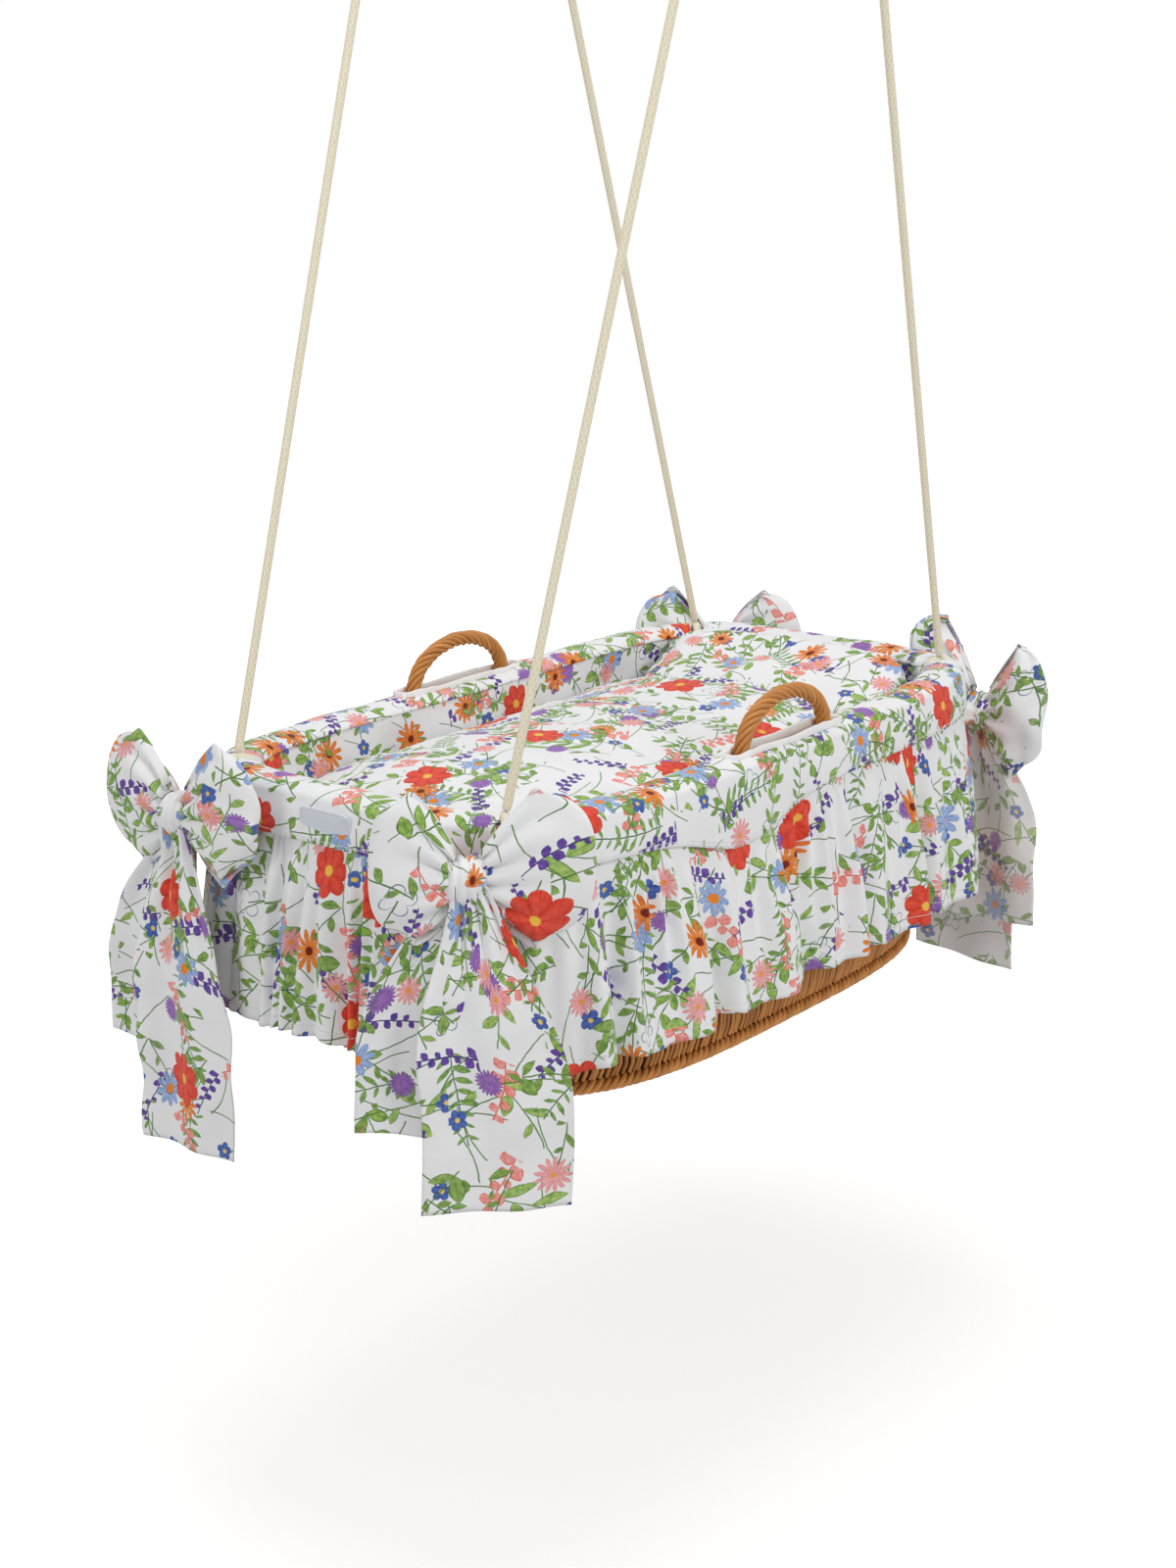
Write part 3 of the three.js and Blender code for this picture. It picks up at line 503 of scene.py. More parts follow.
@dataclass(frozen=True)
class Steel:
    """Brushed zinc-plated steel with fine scratches and duller patches."""

    name: str
    tint: str = "c3c6ca"

    def make(self) -> bpy.types.Material:
        """Builds the material.

        Returns:
            The material.
        """
        material, book, shader = plain_material(self.name)
        place = book.place()
        scratch = book.noise(book.vector("MULTIPLY", place, (1.0, 1.0, 8.0)), 600.0, 3.0)
        book.fill(shader, {
            "Base Color": book.blend(book.noise(place, 60.0), colour(self.tint), darker(self.tint, 0.72)),
            "Roughness": 0.22 + scratch * 0.25,
            "Normal": book.bump(scratch, 0.15, 0.0003),
            "Metallic": 1.0,
        })
        return material


def plain_material(name: str) -> tuple[bpy.types.Material, NodeBook, bpy.types.Node]:
    """An empty material with its main shader.

    Args:
        name: the material's name.

    Returns:
        The material, the book of its nodes, and the shader.
    """
    material = bpy.data.materials.new(name)
    material.use_nodes = True
    book = NodeBook(material.node_tree)
    return material, book, material.node_tree.nodes["Principled BSDF"]


class Finish(Enum):
    """The finishes by name."""

    PRINT = "cotton_print"
    REVERSE = "cotton_reverse"
    BINDING = "cotton_binding"
    PATCH = "satin_patch"
    TICKING = "mattress_ticking"
    THREAD = "sewing_thread"
    WILLOW = "willow_rod"
    BOARD = "willow_board"
    # painted shade: the dark shell behind the wall's ribs
    CORE = "willow_core"
    CORD = "cotton_cord"
    STEEL = "plated_steel"


WILDFLOWER = motif_group()
FINISHES: dict[Finish, bpy.types.Material] = {
    Finish.PRINT: Cotton(Finish.PRINT.value).make(),
    Finish.REVERSE: Cotton(Finish.REVERSE.value, ground="f1efed", strength=0.75).make(),
    Finish.BINDING: Cotton(Finish.BINDING.value, ground="fbfaf8", motifs=(), weave=1500.0).make(),
    Finish.PATCH: Cotton(Finish.PATCH.value, ground="dde3ec", motifs=(), weave=2600.0, sheen=0.4).make(),
    Finish.TICKING: Cotton(Finish.TICKING.value, ground="f4f2ed", motifs=(), weave=1100.0).make(),
    Finish.THREAD: Cotton(Finish.THREAD.value, ground="f6f5f2", motifs=()).make(),
    Finish.WILLOW: Willow(Finish.WILLOW.value).make(),
    Finish.BOARD: Willow(Finish.BOARD.value, light="b98149", dark="8a5a2c").make(),
    # Painted shade: this dark willow, on the shell behind the ribs, stands in for the shade between them.
    Finish.CORE: Willow(Finish.CORE.value, light="5e3818", dark="36200c").make(),
    Finish.CORD: Cordage(Finish.CORD.value).make(),
    Finish.STEEL: Steel(Finish.STEEL.value).make(),
}


# Forms


@dataclass(frozen=True)
class BasketForm:
    """The basket's outline from its rim to its base, with the rim's rise towards the head end."""

    rim_half_length: float = 0.379
    rim_half_width: float = 0.206
    rim_squareness: float = 5.0
    base_half_length: float = 0.330
    base_half_width: float = 0.200
    base_squareness: float = 3.4
    base_shift: float = 0.024
    depth: float = 0.273
    head_rise: float = 0.016
    square_reach: float = 0.036

    def outline(self, fall: float, shrink: float, count: int, corner_pull: float) -> np.ndarray:
        """Points round the basket, closer together in the corners.

        Args:
            fall: 0 for the rim's outline, 1 for the base's.
            shrink: taken off both half sizes.
            count: how many points.
            corner_pull: how much closer they lie in the corners.

        Returns:
            The points, count by 2.
        """
        length = self.rim_half_length + (self.base_half_length - self.rim_half_length) * fall - shrink
        width = self.rim_half_width + (self.base_half_width - self.rim_half_width) * fall - shrink
        power = 2 / (self.rim_squareness + (self.base_squareness - self.rim_squareness) * fall)
        fine = superellipse(np.linspace(0, TURN, 6001), length, width, power)
        step = np.diff(fine, axis=0)
        heading = np.unwrap(np.arctan2(step[:, 1], step[:, 0]))
        turn = abs(np.diff(heading, prepend=np.pi / 2))
        reach = np.concatenate([[0], np.cumsum(np.linalg.norm(step, axis=1) + corner_pull * turn)])
        wanted = np.linspace(0, reach[-1], count, endpoint=False)
        return np.stack([np.interp(wanted, reach, fine[:, axis]) for axis in (0, 1)], 1)

    def ring(self, spread: float | np.ndarray, height: float | np.ndarray, fall: float, count: int,
             corner_pull: float = 0.0) -> np.ndarray:
        """One ring round the basket.

        Args:
            spread: how far outside the outline.
            height: above the cover's rim.
            fall: 0 for the rim's outline, 1 for the base's.
            count: how many points.
            corner_pull: how much closer they lie in the corners.

        Returns:
            The points, count by 3.
        """
        shrink = max(0.0, -float(np.min(spread)) - self.square_reach)
        flat = self.outline(fall, shrink, count, corner_pull)
        along = ring_heading(flat)
        out = np.stack([along[:, 1], -along[:, 0]], 1)
        spreads = np.broadcast_to(np.asarray(spread, float), count) + shrink
        flat = flat + out * spreads[:, None]
        flat[:, 0] += self.base_shift * fall
        return np.column_stack([flat, np.broadcast_to(np.asarray(height, float), count)])

    def placed(self, points: np.ndarray) -> np.ndarray:
        """Points of the basket moved to the model's frame, with the rim's rise.

        Args:
            points: any array of points whose height is above the cover's rim.

        Returns:
            The moved points.
        """
        moved = np.array(points, float)
        fade = np.clip(1 + moved[..., 2] / self.depth, 0, 1)
        share = (moved[..., 0] / self.rim_half_length + 1) / 2
        moved[..., 2] += self.head_rise * fade * share**2 - HANGING_HEIGHT
        return moved

    def rim_point(self, end: int, side: int, reach: float) -> tuple[np.ndarray, np.ndarray]:
        """A point of the rim's outline at a distance along X.

        Args:
            end: 1 for the head end, -1 for the foot end.
            side: 1 for the left side, -1 for the right.
            reach: the distance.

        Returns:
            The point and the outline's outward direction there.
        """
        power = self.rim_squareness
        along = reach / self.rim_half_length
        across = (1 - along**power) ** (1 / power)
        out = np.array([end * along ** (power - 1) / self.rim_half_length,
                        side * across ** (power - 1) / self.rim_half_width, 0])
        return np.array([end * reach, side * across * self.rim_half_width, 0]), out / np.linalg.norm(out)


FORM = BasketForm()


@dataclass(frozen=True)
class Corner:
    """One of the four rope corners."""

    name: str
    end: int
    side: int


CORNERS = (Corner("foot_left", -1, 1), Corner("foot_right", -1, -1),
           Corner("head_left", 1, 1), Corner("head_right", 1, -1))


def lerp(start: float, stop: float, share: float | np.ndarray) -> float | np.ndarray:
    """A value between two."""
    return start + (stop - start) * share


def smooth(value: np.ndarray | float, low: float, high: float) -> np.ndarray:
    """0 below low, 1 above high, and smooth between."""
    share = np.clip((np.asarray(value, float) - low) / (high - low), 0, 1)
    return share * share * (3 - 2 * share)


def soft_noise(points: np.ndarray, size: float, seed: int, waves: int = 7) -> np.ndarray:
    """Smooth waviness from a few seeded waves.

    Args:
        points: where, any count by 2 or 3.
        size: the waves' usual length.
        seed: fixes the draw.
        waves: how many.

    Returns:
        Values of about -1 to 1.
    """
    draw = np.random.default_rng(seed)
    total = np.zeros(points.shape[:-1])
    for _ in range(waves):
        direction = draw.normal(size=points.shape[-1])
        direction /= np.linalg.norm(direction)
        pace = 2 * np.pi / (size * draw.uniform(0.7, 1.6))
        total += np.sin(points @ direction * pace + draw.uniform(0, 6.28))
    return total / waves**0.5


Waves = tuple[tuple[float, int, float], ...]


def ripple(share: np.ndarray, waves: Waves) -> np.ndarray:
    """A sum of waves round the basket.

    Args:
        share: how far round.
        waves: each one's size, how many of it go round, and its start.

    Returns:
        The sum at each share.
    """
    return sum(size * np.sin(TURN * count * share + start) for size, count, start in waves)


def unit(vectors: np.ndarray) -> np.ndarray:
    """Rows of numbers, each brought to length 1."""
    return vectors / np.linalg.norm(vectors, axis=1)[:, None]


def ring_heading(ring: np.ndarray) -> np.ndarray:
    """The direction in which a closed ring runs at each of its points."""
    return unit(np.roll(ring, -1, 0) - np.roll(ring, 1, 0))


def run_along(path: np.ndarray) -> np.ndarray:
    """Distance run along a path at each of its points."""
    return np.concatenate([[0], np.cumsum(np.linalg.norm(np.diff(path, axis=0), axis=1))])


def circle(count: int) -> np.ndarray:
    """Angles spread evenly over one turn."""
    return TURN * np.arange(count) / count


def superellipse(angle: np.ndarray, half_length: float, half_width: float, power: float) -> np.ndarray:
    """Points of a rounded box's outline.

    Args:
        angle: one for each point.
        half_length: along X.
        half_width: along Y.
        power: 1 for an ellipse, and nearer 0 for sharper corners.

    Returns:
        The points, count by 2.
    """
    cos, sin = np.cos(angle), np.sin(angle)
    return np.stack([half_length * np.sign(cos) * abs(cos) ** power,
                     half_width * np.sign(sin) * abs(sin) ** power], 1)


class MeshBook:
    """Gathers grids of faces with UVs and makes one object of them."""

    def __init__(self, name: str) -> None:
        """Starts an empty mesh."""
        self.name = name
        self.points: list[np.ndarray] = []
        self.faces: list[tuple[int, ...]] = []
        self.uvs: list[tuple[float, float]] = []
        self.tones: list[np.ndarray] = []
        self.count = 0

    def grid(self, points: np.ndarray, across: np.ndarray, along: np.ndarray, wrap: bool = False,
             loop: bool = False, flip: bool = False, tone: np.ndarray | None = None) -> "MeshBook":
        """Adds a grid of quads.

        Args:
            points: rows by columns by 3.
            across: UV across, rows by columns, with one column more when it wraps.
            along: UV along, of the same size, with one row more when it loops.
            wrap: whether the last column meets the first.
            loop: whether the last row meets the first.
            flip: turns the faces over.
            tone: a value for each point.

        Returns:
            This book.
        """
        rows, columns = points.shape[:2]
        base = self.count
        self.points.append(points.reshape(-1, 3))
        self.tones.append(np.zeros(rows * columns) if tone is None else tone.reshape(-1))
        self.count += rows * columns
        for row in range(rows if loop else rows - 1):
            below = (row + 1) % rows
            for column in range(columns if wrap else columns - 1):
                beside = (column + 1) % columns
                spots = [(row, column, row, column), (row, beside, row, column + 1),
                         (below, beside, row + 1, column + 1), (below, column, row + 1, column)]
                if flip:
                    spots.reverse()
                self.faces.append(tuple(base + r * columns + c for r, c, _, _ in spots))
                self.uvs.extend((across[r, c], along[r, c]) for _, _, r, c in spots)
        return self

    def cap(self, row: np.ndarray) -> "MeshBook":
        """Closes a ring of points with a fan.

        Args:
            row: the ring's points.

        Returns:
            This book.
        """
        base = self.count
        both = np.vstack([row, row.mean(0)])
        self.points.append(both)
        self.tones.append(np.zeros(len(both)))
        self.count += len(both)
        for index in range(len(row)):
            trio = (index, (index + 1) % len(row), len(row))
            self.faces.append(tuple(base + k for k in trio))
            self.uvs.extend((both[k][0], both[k][1]) for k in trio)
        return self

    def make(self, *finishes: Finish, outward: bool = True) -> bpy.types.Object:
        """Makes the object.

        Args:
            finishes: its materials.
            outward: whether the faces are turned outwards as on a closed form.

        Returns:
            The object, at the origin.
        """
        mesh = bpy.data.meshes.new(self.name)
        mesh.from_pydata([tuple(p) for p in np.vstack(self.points)], [], self.faces)
        layer = mesh.uv_layers.new(name="UVMap")
        layer.data.foreach_set("uv", np.asarray(self.uvs, np.float32).ravel())
        tone = mesh.attributes.new("tone", "FLOAT", "POINT")
        tone.data.foreach_set("value", np.concatenate(self.tones).astype(np.float32))
        weld(mesh, WELD, outward)
        return object_of(self.name, mesh, *finishes)


def weld(mesh: bpy.types.Mesh, distance: float, outward: bool = True) -> None:
    """Joins a mesh's points that lie together.

    Args:
        mesh: the mesh.
        distance: points closer than this become one.
        outward: whether the faces are turned outwards as on a closed form.
    """
    work = bmesh.new()
    work.from_mesh(mesh)
    bmesh.ops.remove_doubles(work, verts=work.verts, dist=distance)
    if outward:
        bmesh.ops.recalc_face_normals(work, faces=work.faces)
    work.to_mesh(mesh)
    work.free()


def linked(name: str, data: bpy.types.ID) -> bpy.types.Object:
    """A new object in the scene."""
    thing = bpy.data.objects.new(name, data)
    bpy.context.scene.collection.objects.link(thing)
    return thing


def object_of(name: str, mesh: bpy.types.Mesh, *finishes: Finish) -> bpy.types.Object:
    """An object at the origin, smooth, with its materials.

    Args:
        name: the piece's name.
        mesh: its mesh.
        finishes: its materials.

    Returns:
        The object.
    """
    mesh.shade_smooth()
    thing = linked(name, mesh)
    if finishes:
        mesh.materials.clear()
        for finish in finishes:
            mesh.materials.append(FINISHES[finish])
    return thing


def dress(piece: bpy.types.Object, body: str, slot: str, node: str = "") -> bpy.types.Object:
    """Says what a piece rides on, and hides the solid that it stands for.

    Args:
        piece: the piece.
        body: the body that it moves with.
        slot: not used.
        node: the solid, where it stands for one.

    Returns:
        The piece.
    """
    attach(piece, body)
    if node:
        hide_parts(node)
    return piece


def baked(thing: bpy.types.Object) -> bpy.types.Object:
    """Turns an object's modifiers into plain mesh.

    Args:
        thing: the object.

    Returns:
        The same object.
    """
    graph = bpy.context.evaluated_depsgraph_get()
    graph.update()
    mesh = bpy.data.meshes.new_from_object(thing.evaluated_get(graph), depsgraph=graph)
    thing.modifiers.clear()
    old = thing.data
    thing.data = mesh
    mesh.name = thing.name
    bpy.data.meshes.remove(old)
    return thing


def thickened(thing: bpy.types.Object, thickness: float, offset: float) -> bpy.types.Object:
    """Gives a sheet its thickness, with the cloth's reverse on the inner side.

    Args:
        thing: the sheet.
        thickness: in metres.
        offset: -1 inwards, 0 both ways, 1 outwards.

    Returns:
        The same object.
    """
    shell = thing.modifiers.new("thickness", "SOLIDIFY")
    shell.thickness = thickness
    shell.offset = offset
    shell.use_even_offset = False
    shell.material_offset = 1
    return baked(thing)


def cumulated(points: np.ndarray, axis: int) -> np.ndarray:
    """Distance run along one axis of a grid of points."""
    step = np.linalg.norm(np.diff(points, axis=axis), axis=-1)
    pad = [(0, 0), (0, 0)]
    pad[axis] = (1, 0)
    return np.pad(np.cumsum(step, axis), pad)


def settled(lengths: np.ndarray, share: float = 0.05) -> np.ndarray:
    """Smooths lengths measured down a band along its way round, so that small folds don't shear the print.

    Args:
        lengths: rows by columns, closed round the columns.
        share: share of the way round over which they are evened.

    Returns:
        The evened lengths.
    """
    count = lengths.shape[1]
    half = max(1, int(count * share / 2))
    padded = np.hstack([lengths[:, -half:], lengths, lengths[:, :half]])
    total = np.cumsum(np.hstack([np.zeros((len(lengths), 1)), padded]), axis=1)
    return (total[:, 2 * half + 1 :] - total[:, : -2 * half - 1]) / (2 * half + 1)


# Rods, threads and stitches


def line_mesh(name: str, lines: Iterable[np.ndarray], closed: bool = False) -> bpy.types.Object:
    """Paths as a mesh of edges only.

    Args:
        name: the object's name.
        lines: each path's points.
        closed: whether each path's end meets its start.

    Returns:
        The object.
    """
    points, edges, base = [], [], 0
    for line in lines:
        count = len(line)
        points.append(line)
        edges.extend((base + k, base + k + 1) for k in range(count - 1))
        if closed:
            edges.append((base + count - 1, base))
        base += count
    mesh = bpy.data.meshes.new(name)
    mesh.from_pydata([tuple(p) for p in np.vstack(points)], edges, [])
    return linked(name, mesh)


class Maker:
    """A Geometry Nodes tree with named inputs that turns paths into a mesh."""

    def __init__(self, name: str, **sizes: float | int) -> None:
        """Starts a tree with its inputs.

        Args:
            name: the tree's name.
            sizes: each input's usual value. A whole number makes an input for whole numbers.
        """
        self.tree = bpy.data.node_groups.new(name, "GeometryNodeTree")
        self.book = NodeBook(self.tree)
        face = self.tree.interface
        face.new_socket("Geometry", in_out="INPUT", socket_type="NodeSocketGeometry")
        for key, value in sizes.items():
            kind = "NodeSocketInt" if isinstance(value, int) else "NodeSocketFloat"
            face.new_socket(key, in_out="INPUT", socket_type=kind).default_value = value
        face.new_socket("Material", in_out="INPUT", socket_type="NodeSocketMaterial")
        face.new_socket("Geometry", in_out="OUTPUT", socket_type="NodeSocketGeometry")
        self.given = self.book.add("NodeGroupInput")

    def close(self, geometry: bpy.types.NodeSocket) -> None:
        """Ends the tree: real geometry, smooth, in its material.

        Args:
            geometry: what has been made.
        """
        real = self.book.add("GeometryNodeRealizeInstances", {0: geometry})
        even = self.book.add("GeometryNodeSetShadeSmooth", {"Geometry": real.outputs[0]})
        dressed = self.book.add("GeometryNodeSetMaterial",
                                {"Geometry": even.outputs[0], "Material": self.given.outputs["Material"]})
        self.book.add("NodeGroupOutput", {"Geometry": dressed.outputs[0]})

    def run(self, paths: bpy.types.Object, finish: Finish, **sizes: float | int) -> bpy.types.Object:
        """Runs the tree on paths and keeps the result as a plain mesh.

        Args:
            paths: the object with the paths.
            finish: its material.
            sizes: inputs by name.

        Returns:
            The same object, now solid.
        """
        modifier = paths.modifiers.new("maker", "NODES")
        modifier.node_group = self.tree
        wanted = {**sizes, "Material": FINISHES[finish]}
        for item in self.tree.interface.items_tree:
            if item.in_out == "INPUT" and item.name in wanted:
                modifier[item.identifier] = wanted[item.name]
        return baked(paths)


def strand_maker() -> Maker:
    """The tree that makes round rods or threads along paths, each with its own tone.

    Returns:
        The maker.
    """
    maker = Maker("strands", Radius=0.002, Sides=6, Wander=0.0, Grain=60.0, Seed=1)
    book, given = maker.book, maker.given.outputs
    curve = book.add("GeometryNodeMeshToCurve", {0: given["Geometry"]})
    noise = book.add("ShaderNodeTexNoise", {"Scale": given["Grain"], "W": given["Seed"]},
                     noise_dimensions="4D")
    shake = book.vector("SUBTRACT", noise.outputs["Color"], (0.5, 0.5, 0.5))
    reach = book.add("ShaderNodeVectorMath", {0: shake, "Scale": given["Wander"]}, operation="SCALE")
    moved = book.add("GeometryNodeSetPosition", {"Geometry": curve.outputs[0], "Offset": reach.outputs[0]})
    drawn = book.add("FunctionNodeRandomValue", {"Seed": given["Seed"]}, data_type="FLOAT")
    toned = book.add("GeometryNodeStoreNamedAttribute", {"Geometry": moved.outputs[0], "Name": "tone"},
                     data_type="FLOAT", domain="CURVE")
    book.feed(toned.inputs["Value"], drawn.outputs[1])
    section = book.add("GeometryNodeCurvePrimitiveCircle",
                       {"Resolution": given["Sides"], "Radius": given["Radius"]})
    tube = book.add("GeometryNodeCurveToMesh", {"Curve": toned.outputs[0],
                                                "Profile Curve": section.outputs[0],
                                                "Fill Caps": True})
    maker.close(tube.outputs[0])
    return maker


def stitch_maker() -> Maker:
    """The tree that sets stitches along seam lines.

    Returns:
        The maker.
    """
    maker = Maker("stitches", Pitch=0.0032, Length=0.0021, Radius=0.00035)
    book, given = maker.book, maker.given.outputs
    curve = book.add("GeometryNodeMeshToCurve", {0: given["Geometry"]})
    spots = book.add("GeometryNodeCurveToPoints", {"Curve": curve.outputs[0], "Length": given["Pitch"]},
                     mode="LENGTH")
    thread = book.add("GeometryNodeMeshCylinder",
                      {"Vertices": 5, "Radius": given["Radius"], "Depth": given["Length"]})
    turned = book.add("FunctionNodeAlignRotationToVector", {"Vector": spots.outputs["Tangent"]}, axis="Z")
    placed = book.add("GeometryNodeInstanceOnPoints", {"Points": spots.outputs["Points"],
                                                       "Instance": thread.outputs["Mesh"],
                                                       "Rotation": turned.outputs[0]})
    maker.close(placed.outputs[0])
    return maker


STRANDS = strand_maker()
STITCHES = stitch_maker()


# Wicker


@dataclass(frozen=True)
class Twist:
    """Rods wound side by side. Lengths in metres."""

    rods: int
    lay: float
    radius: float


@dataclass
class Wicker:
    """The basket: ribbed wall, twisted borders and handles, and base board."""

    wall_inset: float = 0.008
    wall_tuck: float = 0.005
    wall_top: float = -0.0273
    wall_bottom: float = -0.2597
    # Depths of the dark shell behind the ribs, which is painted shade.
    core_face: float = 0.0042
    core_back: float = 0.0066
    rib_radius: float = 0.00205
    rib_pitch: float = 0.0058
    rib_bend: float = 1.1
    rib_shake: float = 0.00016
    rib_steps: int = 10
    border_width: float = 0.022
    border_height: float = 0.018
    border_centre: float = -0.018
    rim_twist: Twist = Twist(8, 0.075, 0.0034)
    foot_width: float = 0.014
    foot_height: float = 0.013
    foot_proud: float = 0.0035
    foot_twist: Twist = Twist(4, 0.030, 0.0026)
    handle_half_span: float = 0.066
    handle_rise: float = 0.042
    handle_shift: float = -0.007
    handle_reach: float = 0.0052
    handle_core: float = 0.0018
    handle_swell: float = 0.0003
    rod_swell_share: float = 0.03
    core_share: float = 0.4
    handle_twist: Twist = Twist(7, 0.062, 0.0022)
    leg_top: float = -0.0012
    leg_bottom: float = -0.0207

    def build(self) -> list[bpy.types.Object]:
        """Builds and dresses every wicker piece.

        Returns:
            The pieces.
        """
        pieces = [self.wall(), self.lining(), self.rim_border(), self.foot_border()]
        pieces += [self.handle("left", 1), self.handle("right", -1)]
        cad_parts["base_board"].material_slots[0].material = FINISHES[Finish.BOARD]
        return pieces

    def profile(self, inset: float, rows: np.ndarray, count: int) -> np.ndarray:
        """The wall's surface, rows by count by 3.

        Args:
            inset: how far inside the wall's outer face.
            rows: shares from the wall's top to its bottom.
            count: points round the basket.

        Returns:
            The points, before the rim's rise.
        """
        rings = []
        for share in rows:
            tuck = self.wall_tuck * smooth(share, 0.86, 1.0)
            spread = -self.wall_inset * (1 - share) - inset - tuck
            height = lerp(self.wall_top, self.wall_bottom, share)
            rings.append(FORM.ring(float(spread), height, share, count))
        return np.array(rings)

    def wall(self) -> bpy.types.Object:
        """Close upright ribs, each a little out of true."""
        count = int(run_along(FORM.ring(0.0, 0.0, 1.0, 720))[-1] / self.rib_pitch)
        rows = np.array([0, 0.12, 0.26, 0.4, 0.54, 0.66, 0.76, 0.84, 0.88, 0.92, 0.95, 0.965, 0.98, 1.0])
        steps = count * self.rib_steps
        surface = FORM.placed(self.profile(self.rib_radius * 1.1, rows, steps))
        draw = np.random.default_rng(7)
        lines = []
        for rib in range(count):
            bend = self.rib_bend * smooth(rows, 0.95, 1.02) + draw.normal(0, 0.07)
            bend = bend + 0.16 * np.sin(rows * 9 + rib * 1.7)
            columns = (self.rib_steps * (rib - bend)).astype(int) % steps
            lines.append(surface[np.arange(len(rows)), columns])
        for line in lines:
            line[:, :2] += draw.normal(0, self.rib_shake, (1, 2))
        ribs = STRANDS.run(line_mesh("wall_ribs", lines), Finish.WILLOW, Radius=self.rib_radius, Sides=7,
                           Wander=0.0012, Grain=55.0, Seed=3)
        return dress(ribs, "cradle", "wicker", "wall_weave")

    def lining(self) -> bpy.types.Object:
        """A dark shell behind the ribs: painted shade, standing in for the shade that shows between them."""
        rows, count = np.linspace(0.0, 1.0, 9), 240
        outer = FORM.placed(self.profile(self.core_face, rows, count))
        inner = FORM.placed(self.profile(self.core_back, rows, count))[::-1]
        shell = np.concatenate([outer, inner])
        u = np.broadcast_to(np.arange(count + 1) * 0.008, (len(shell) + 1, count + 1))
        v = np.broadcast_to(np.arange(len(shell) + 1)[:, None] * 0.02, u.shape)
        core = MeshBook("wall_core").grid(shell, u, v, wrap=True, loop=True).make(Finish.CORE)
        return dress(core, "cradle", "wicker")

    def twisted(self, name: str, node: str, ring: np.ndarray, half: tuple[float, float],
                twist: Twist) -> bpy.types.Object:
        """Rods wound side by side round a ring of the basket.

        Args:
            name: the piece's name.
            node: the solid that it stands for.
            ring: the ring's points.
            half: half width and half height of the section, to the rods' centres.
            twist: the rods.

        Returns:
            The piece.
        """
        path = FORM.placed(ring)
        along = ring_heading(path)
        out = unit(np.cross(along, UP))
        up = np.cross(out, along)
        run = run_along(path)
        whole = run[-1] + np.linalg.norm(path[0] - path[-1])
        turns = max(1, round(whole / twist.lay))
        lines = []
        for rod in range(twist.rods):
            angle = TURN * (rod / twist.rods + turns * run / whole)
            swell = 1 + self.rod_swell_share * np.sin(run * 37 + rod * 2.1)
            lines.append(path + out * (half[0] * swell * np.cos(angle))[:, None]
                         + up * (half[1] * swell * np.sin(angle))[:, None])
        for angle in (0.5, 2.6, 4.7):
            aside = half[0] * self.core_share * math.cos(angle)
            above = half[1] * self.core_share * math.sin(angle)
            lines.append(path + out * aside + up * above)
        piece = STRANDS.run(line_mesh(name, lines, True), Finish.WILLOW, Radius=twist.radius, Sides=7,
                            Wander=0.0006, Grain=90.0, Seed=11)
        return dress(piece, "cradle", "wicker", node)

    def rim_border(self) -> bpy.types.Object:
        """The border that the cover lies over and the ropes pass round."""
        ring = FORM.ring(-self.border_width / 2, self.border_centre, 0.0, 420, 0.02)
        radius = self.rim_twist.radius
        half = (self.border_width / 2 - radius, self.border_height / 2 - radius)
        return self.twisted("rim_twist", "rim_border", ring, half, self.rim_twist)

    def foot_border(self) -> bpy.types.Object:
        """The twisted border that the basket stands on."""
        line = self.foot_width / 2 + self.wall_tuck - self.foot_proud
        ring = FORM.ring(-line, -FORM.depth + self.foot_height / 2, 1.0, 1100, 0.02)
        radius = self.foot_twist.radius
        half = (self.foot_width / 2 - radius * 0.75, self.foot_height / 2 - radius)
        return self.twisted("foot_twist", "foot_border", ring, half, self.foot_twist)

    def handle(self, word: str, side: int) -> bpy.types.Object:
        """One hoop of rods twisted together."""
        y = side * (FORM.rim_half_width - self.border_width / 2)
        angle = np.linspace(0, np.pi, 120)
        arch = np.column_stack([self.handle_shift - self.handle_half_span * np.cos(angle),
                                np.full(120, y), self.handle_rise * np.sin(angle)])
        legs = np.linspace(self.leg_bottom, self.leg_top, 12)
        left = np.column_stack([np.full(12, arch[0, 0]), np.full(12, y), legs])
        right = np.column_stack([np.full(12, arch[-1, 0]), np.full(12, y), legs[::-1]])
        path = FORM.placed(np.vstack([left, arch, right]))
        out = np.broadcast_to([0.0, 1.0, 0.0], path.shape)
        up = np.cross(unit(np.gradient(path, axis=0)), out)
        run = run_along(path)
        twist = self.handle_twist
        lines = []
        for rod in range(twist.rods):
            turn = TURN * (rod / twist.rods + run / twist.lay) + 0.12 * np.sin(run * 60 + rod)
            reach = self.handle_reach + self.handle_swell * np.sin(run * 45 + rod * 2.4)
            lines.append(path + out * (reach * np.cos(turn))[:, None] + up * (reach * np.sin(turn))[:, None])
        lines += [path + way * self.handle_core for way in (out, -out, up, -up)]
        piece = STRANDS.run(line_mesh(f"handle_twist_{word}", lines), Finish.WILLOW, Radius=twist.radius,
                            Sides=9, Wander=0.0003, Grain=120.0, Seed=5)
        return dress(piece, "cradle", "wicker", f"handle_{word}")


WICKER = Wicker()


# Cover


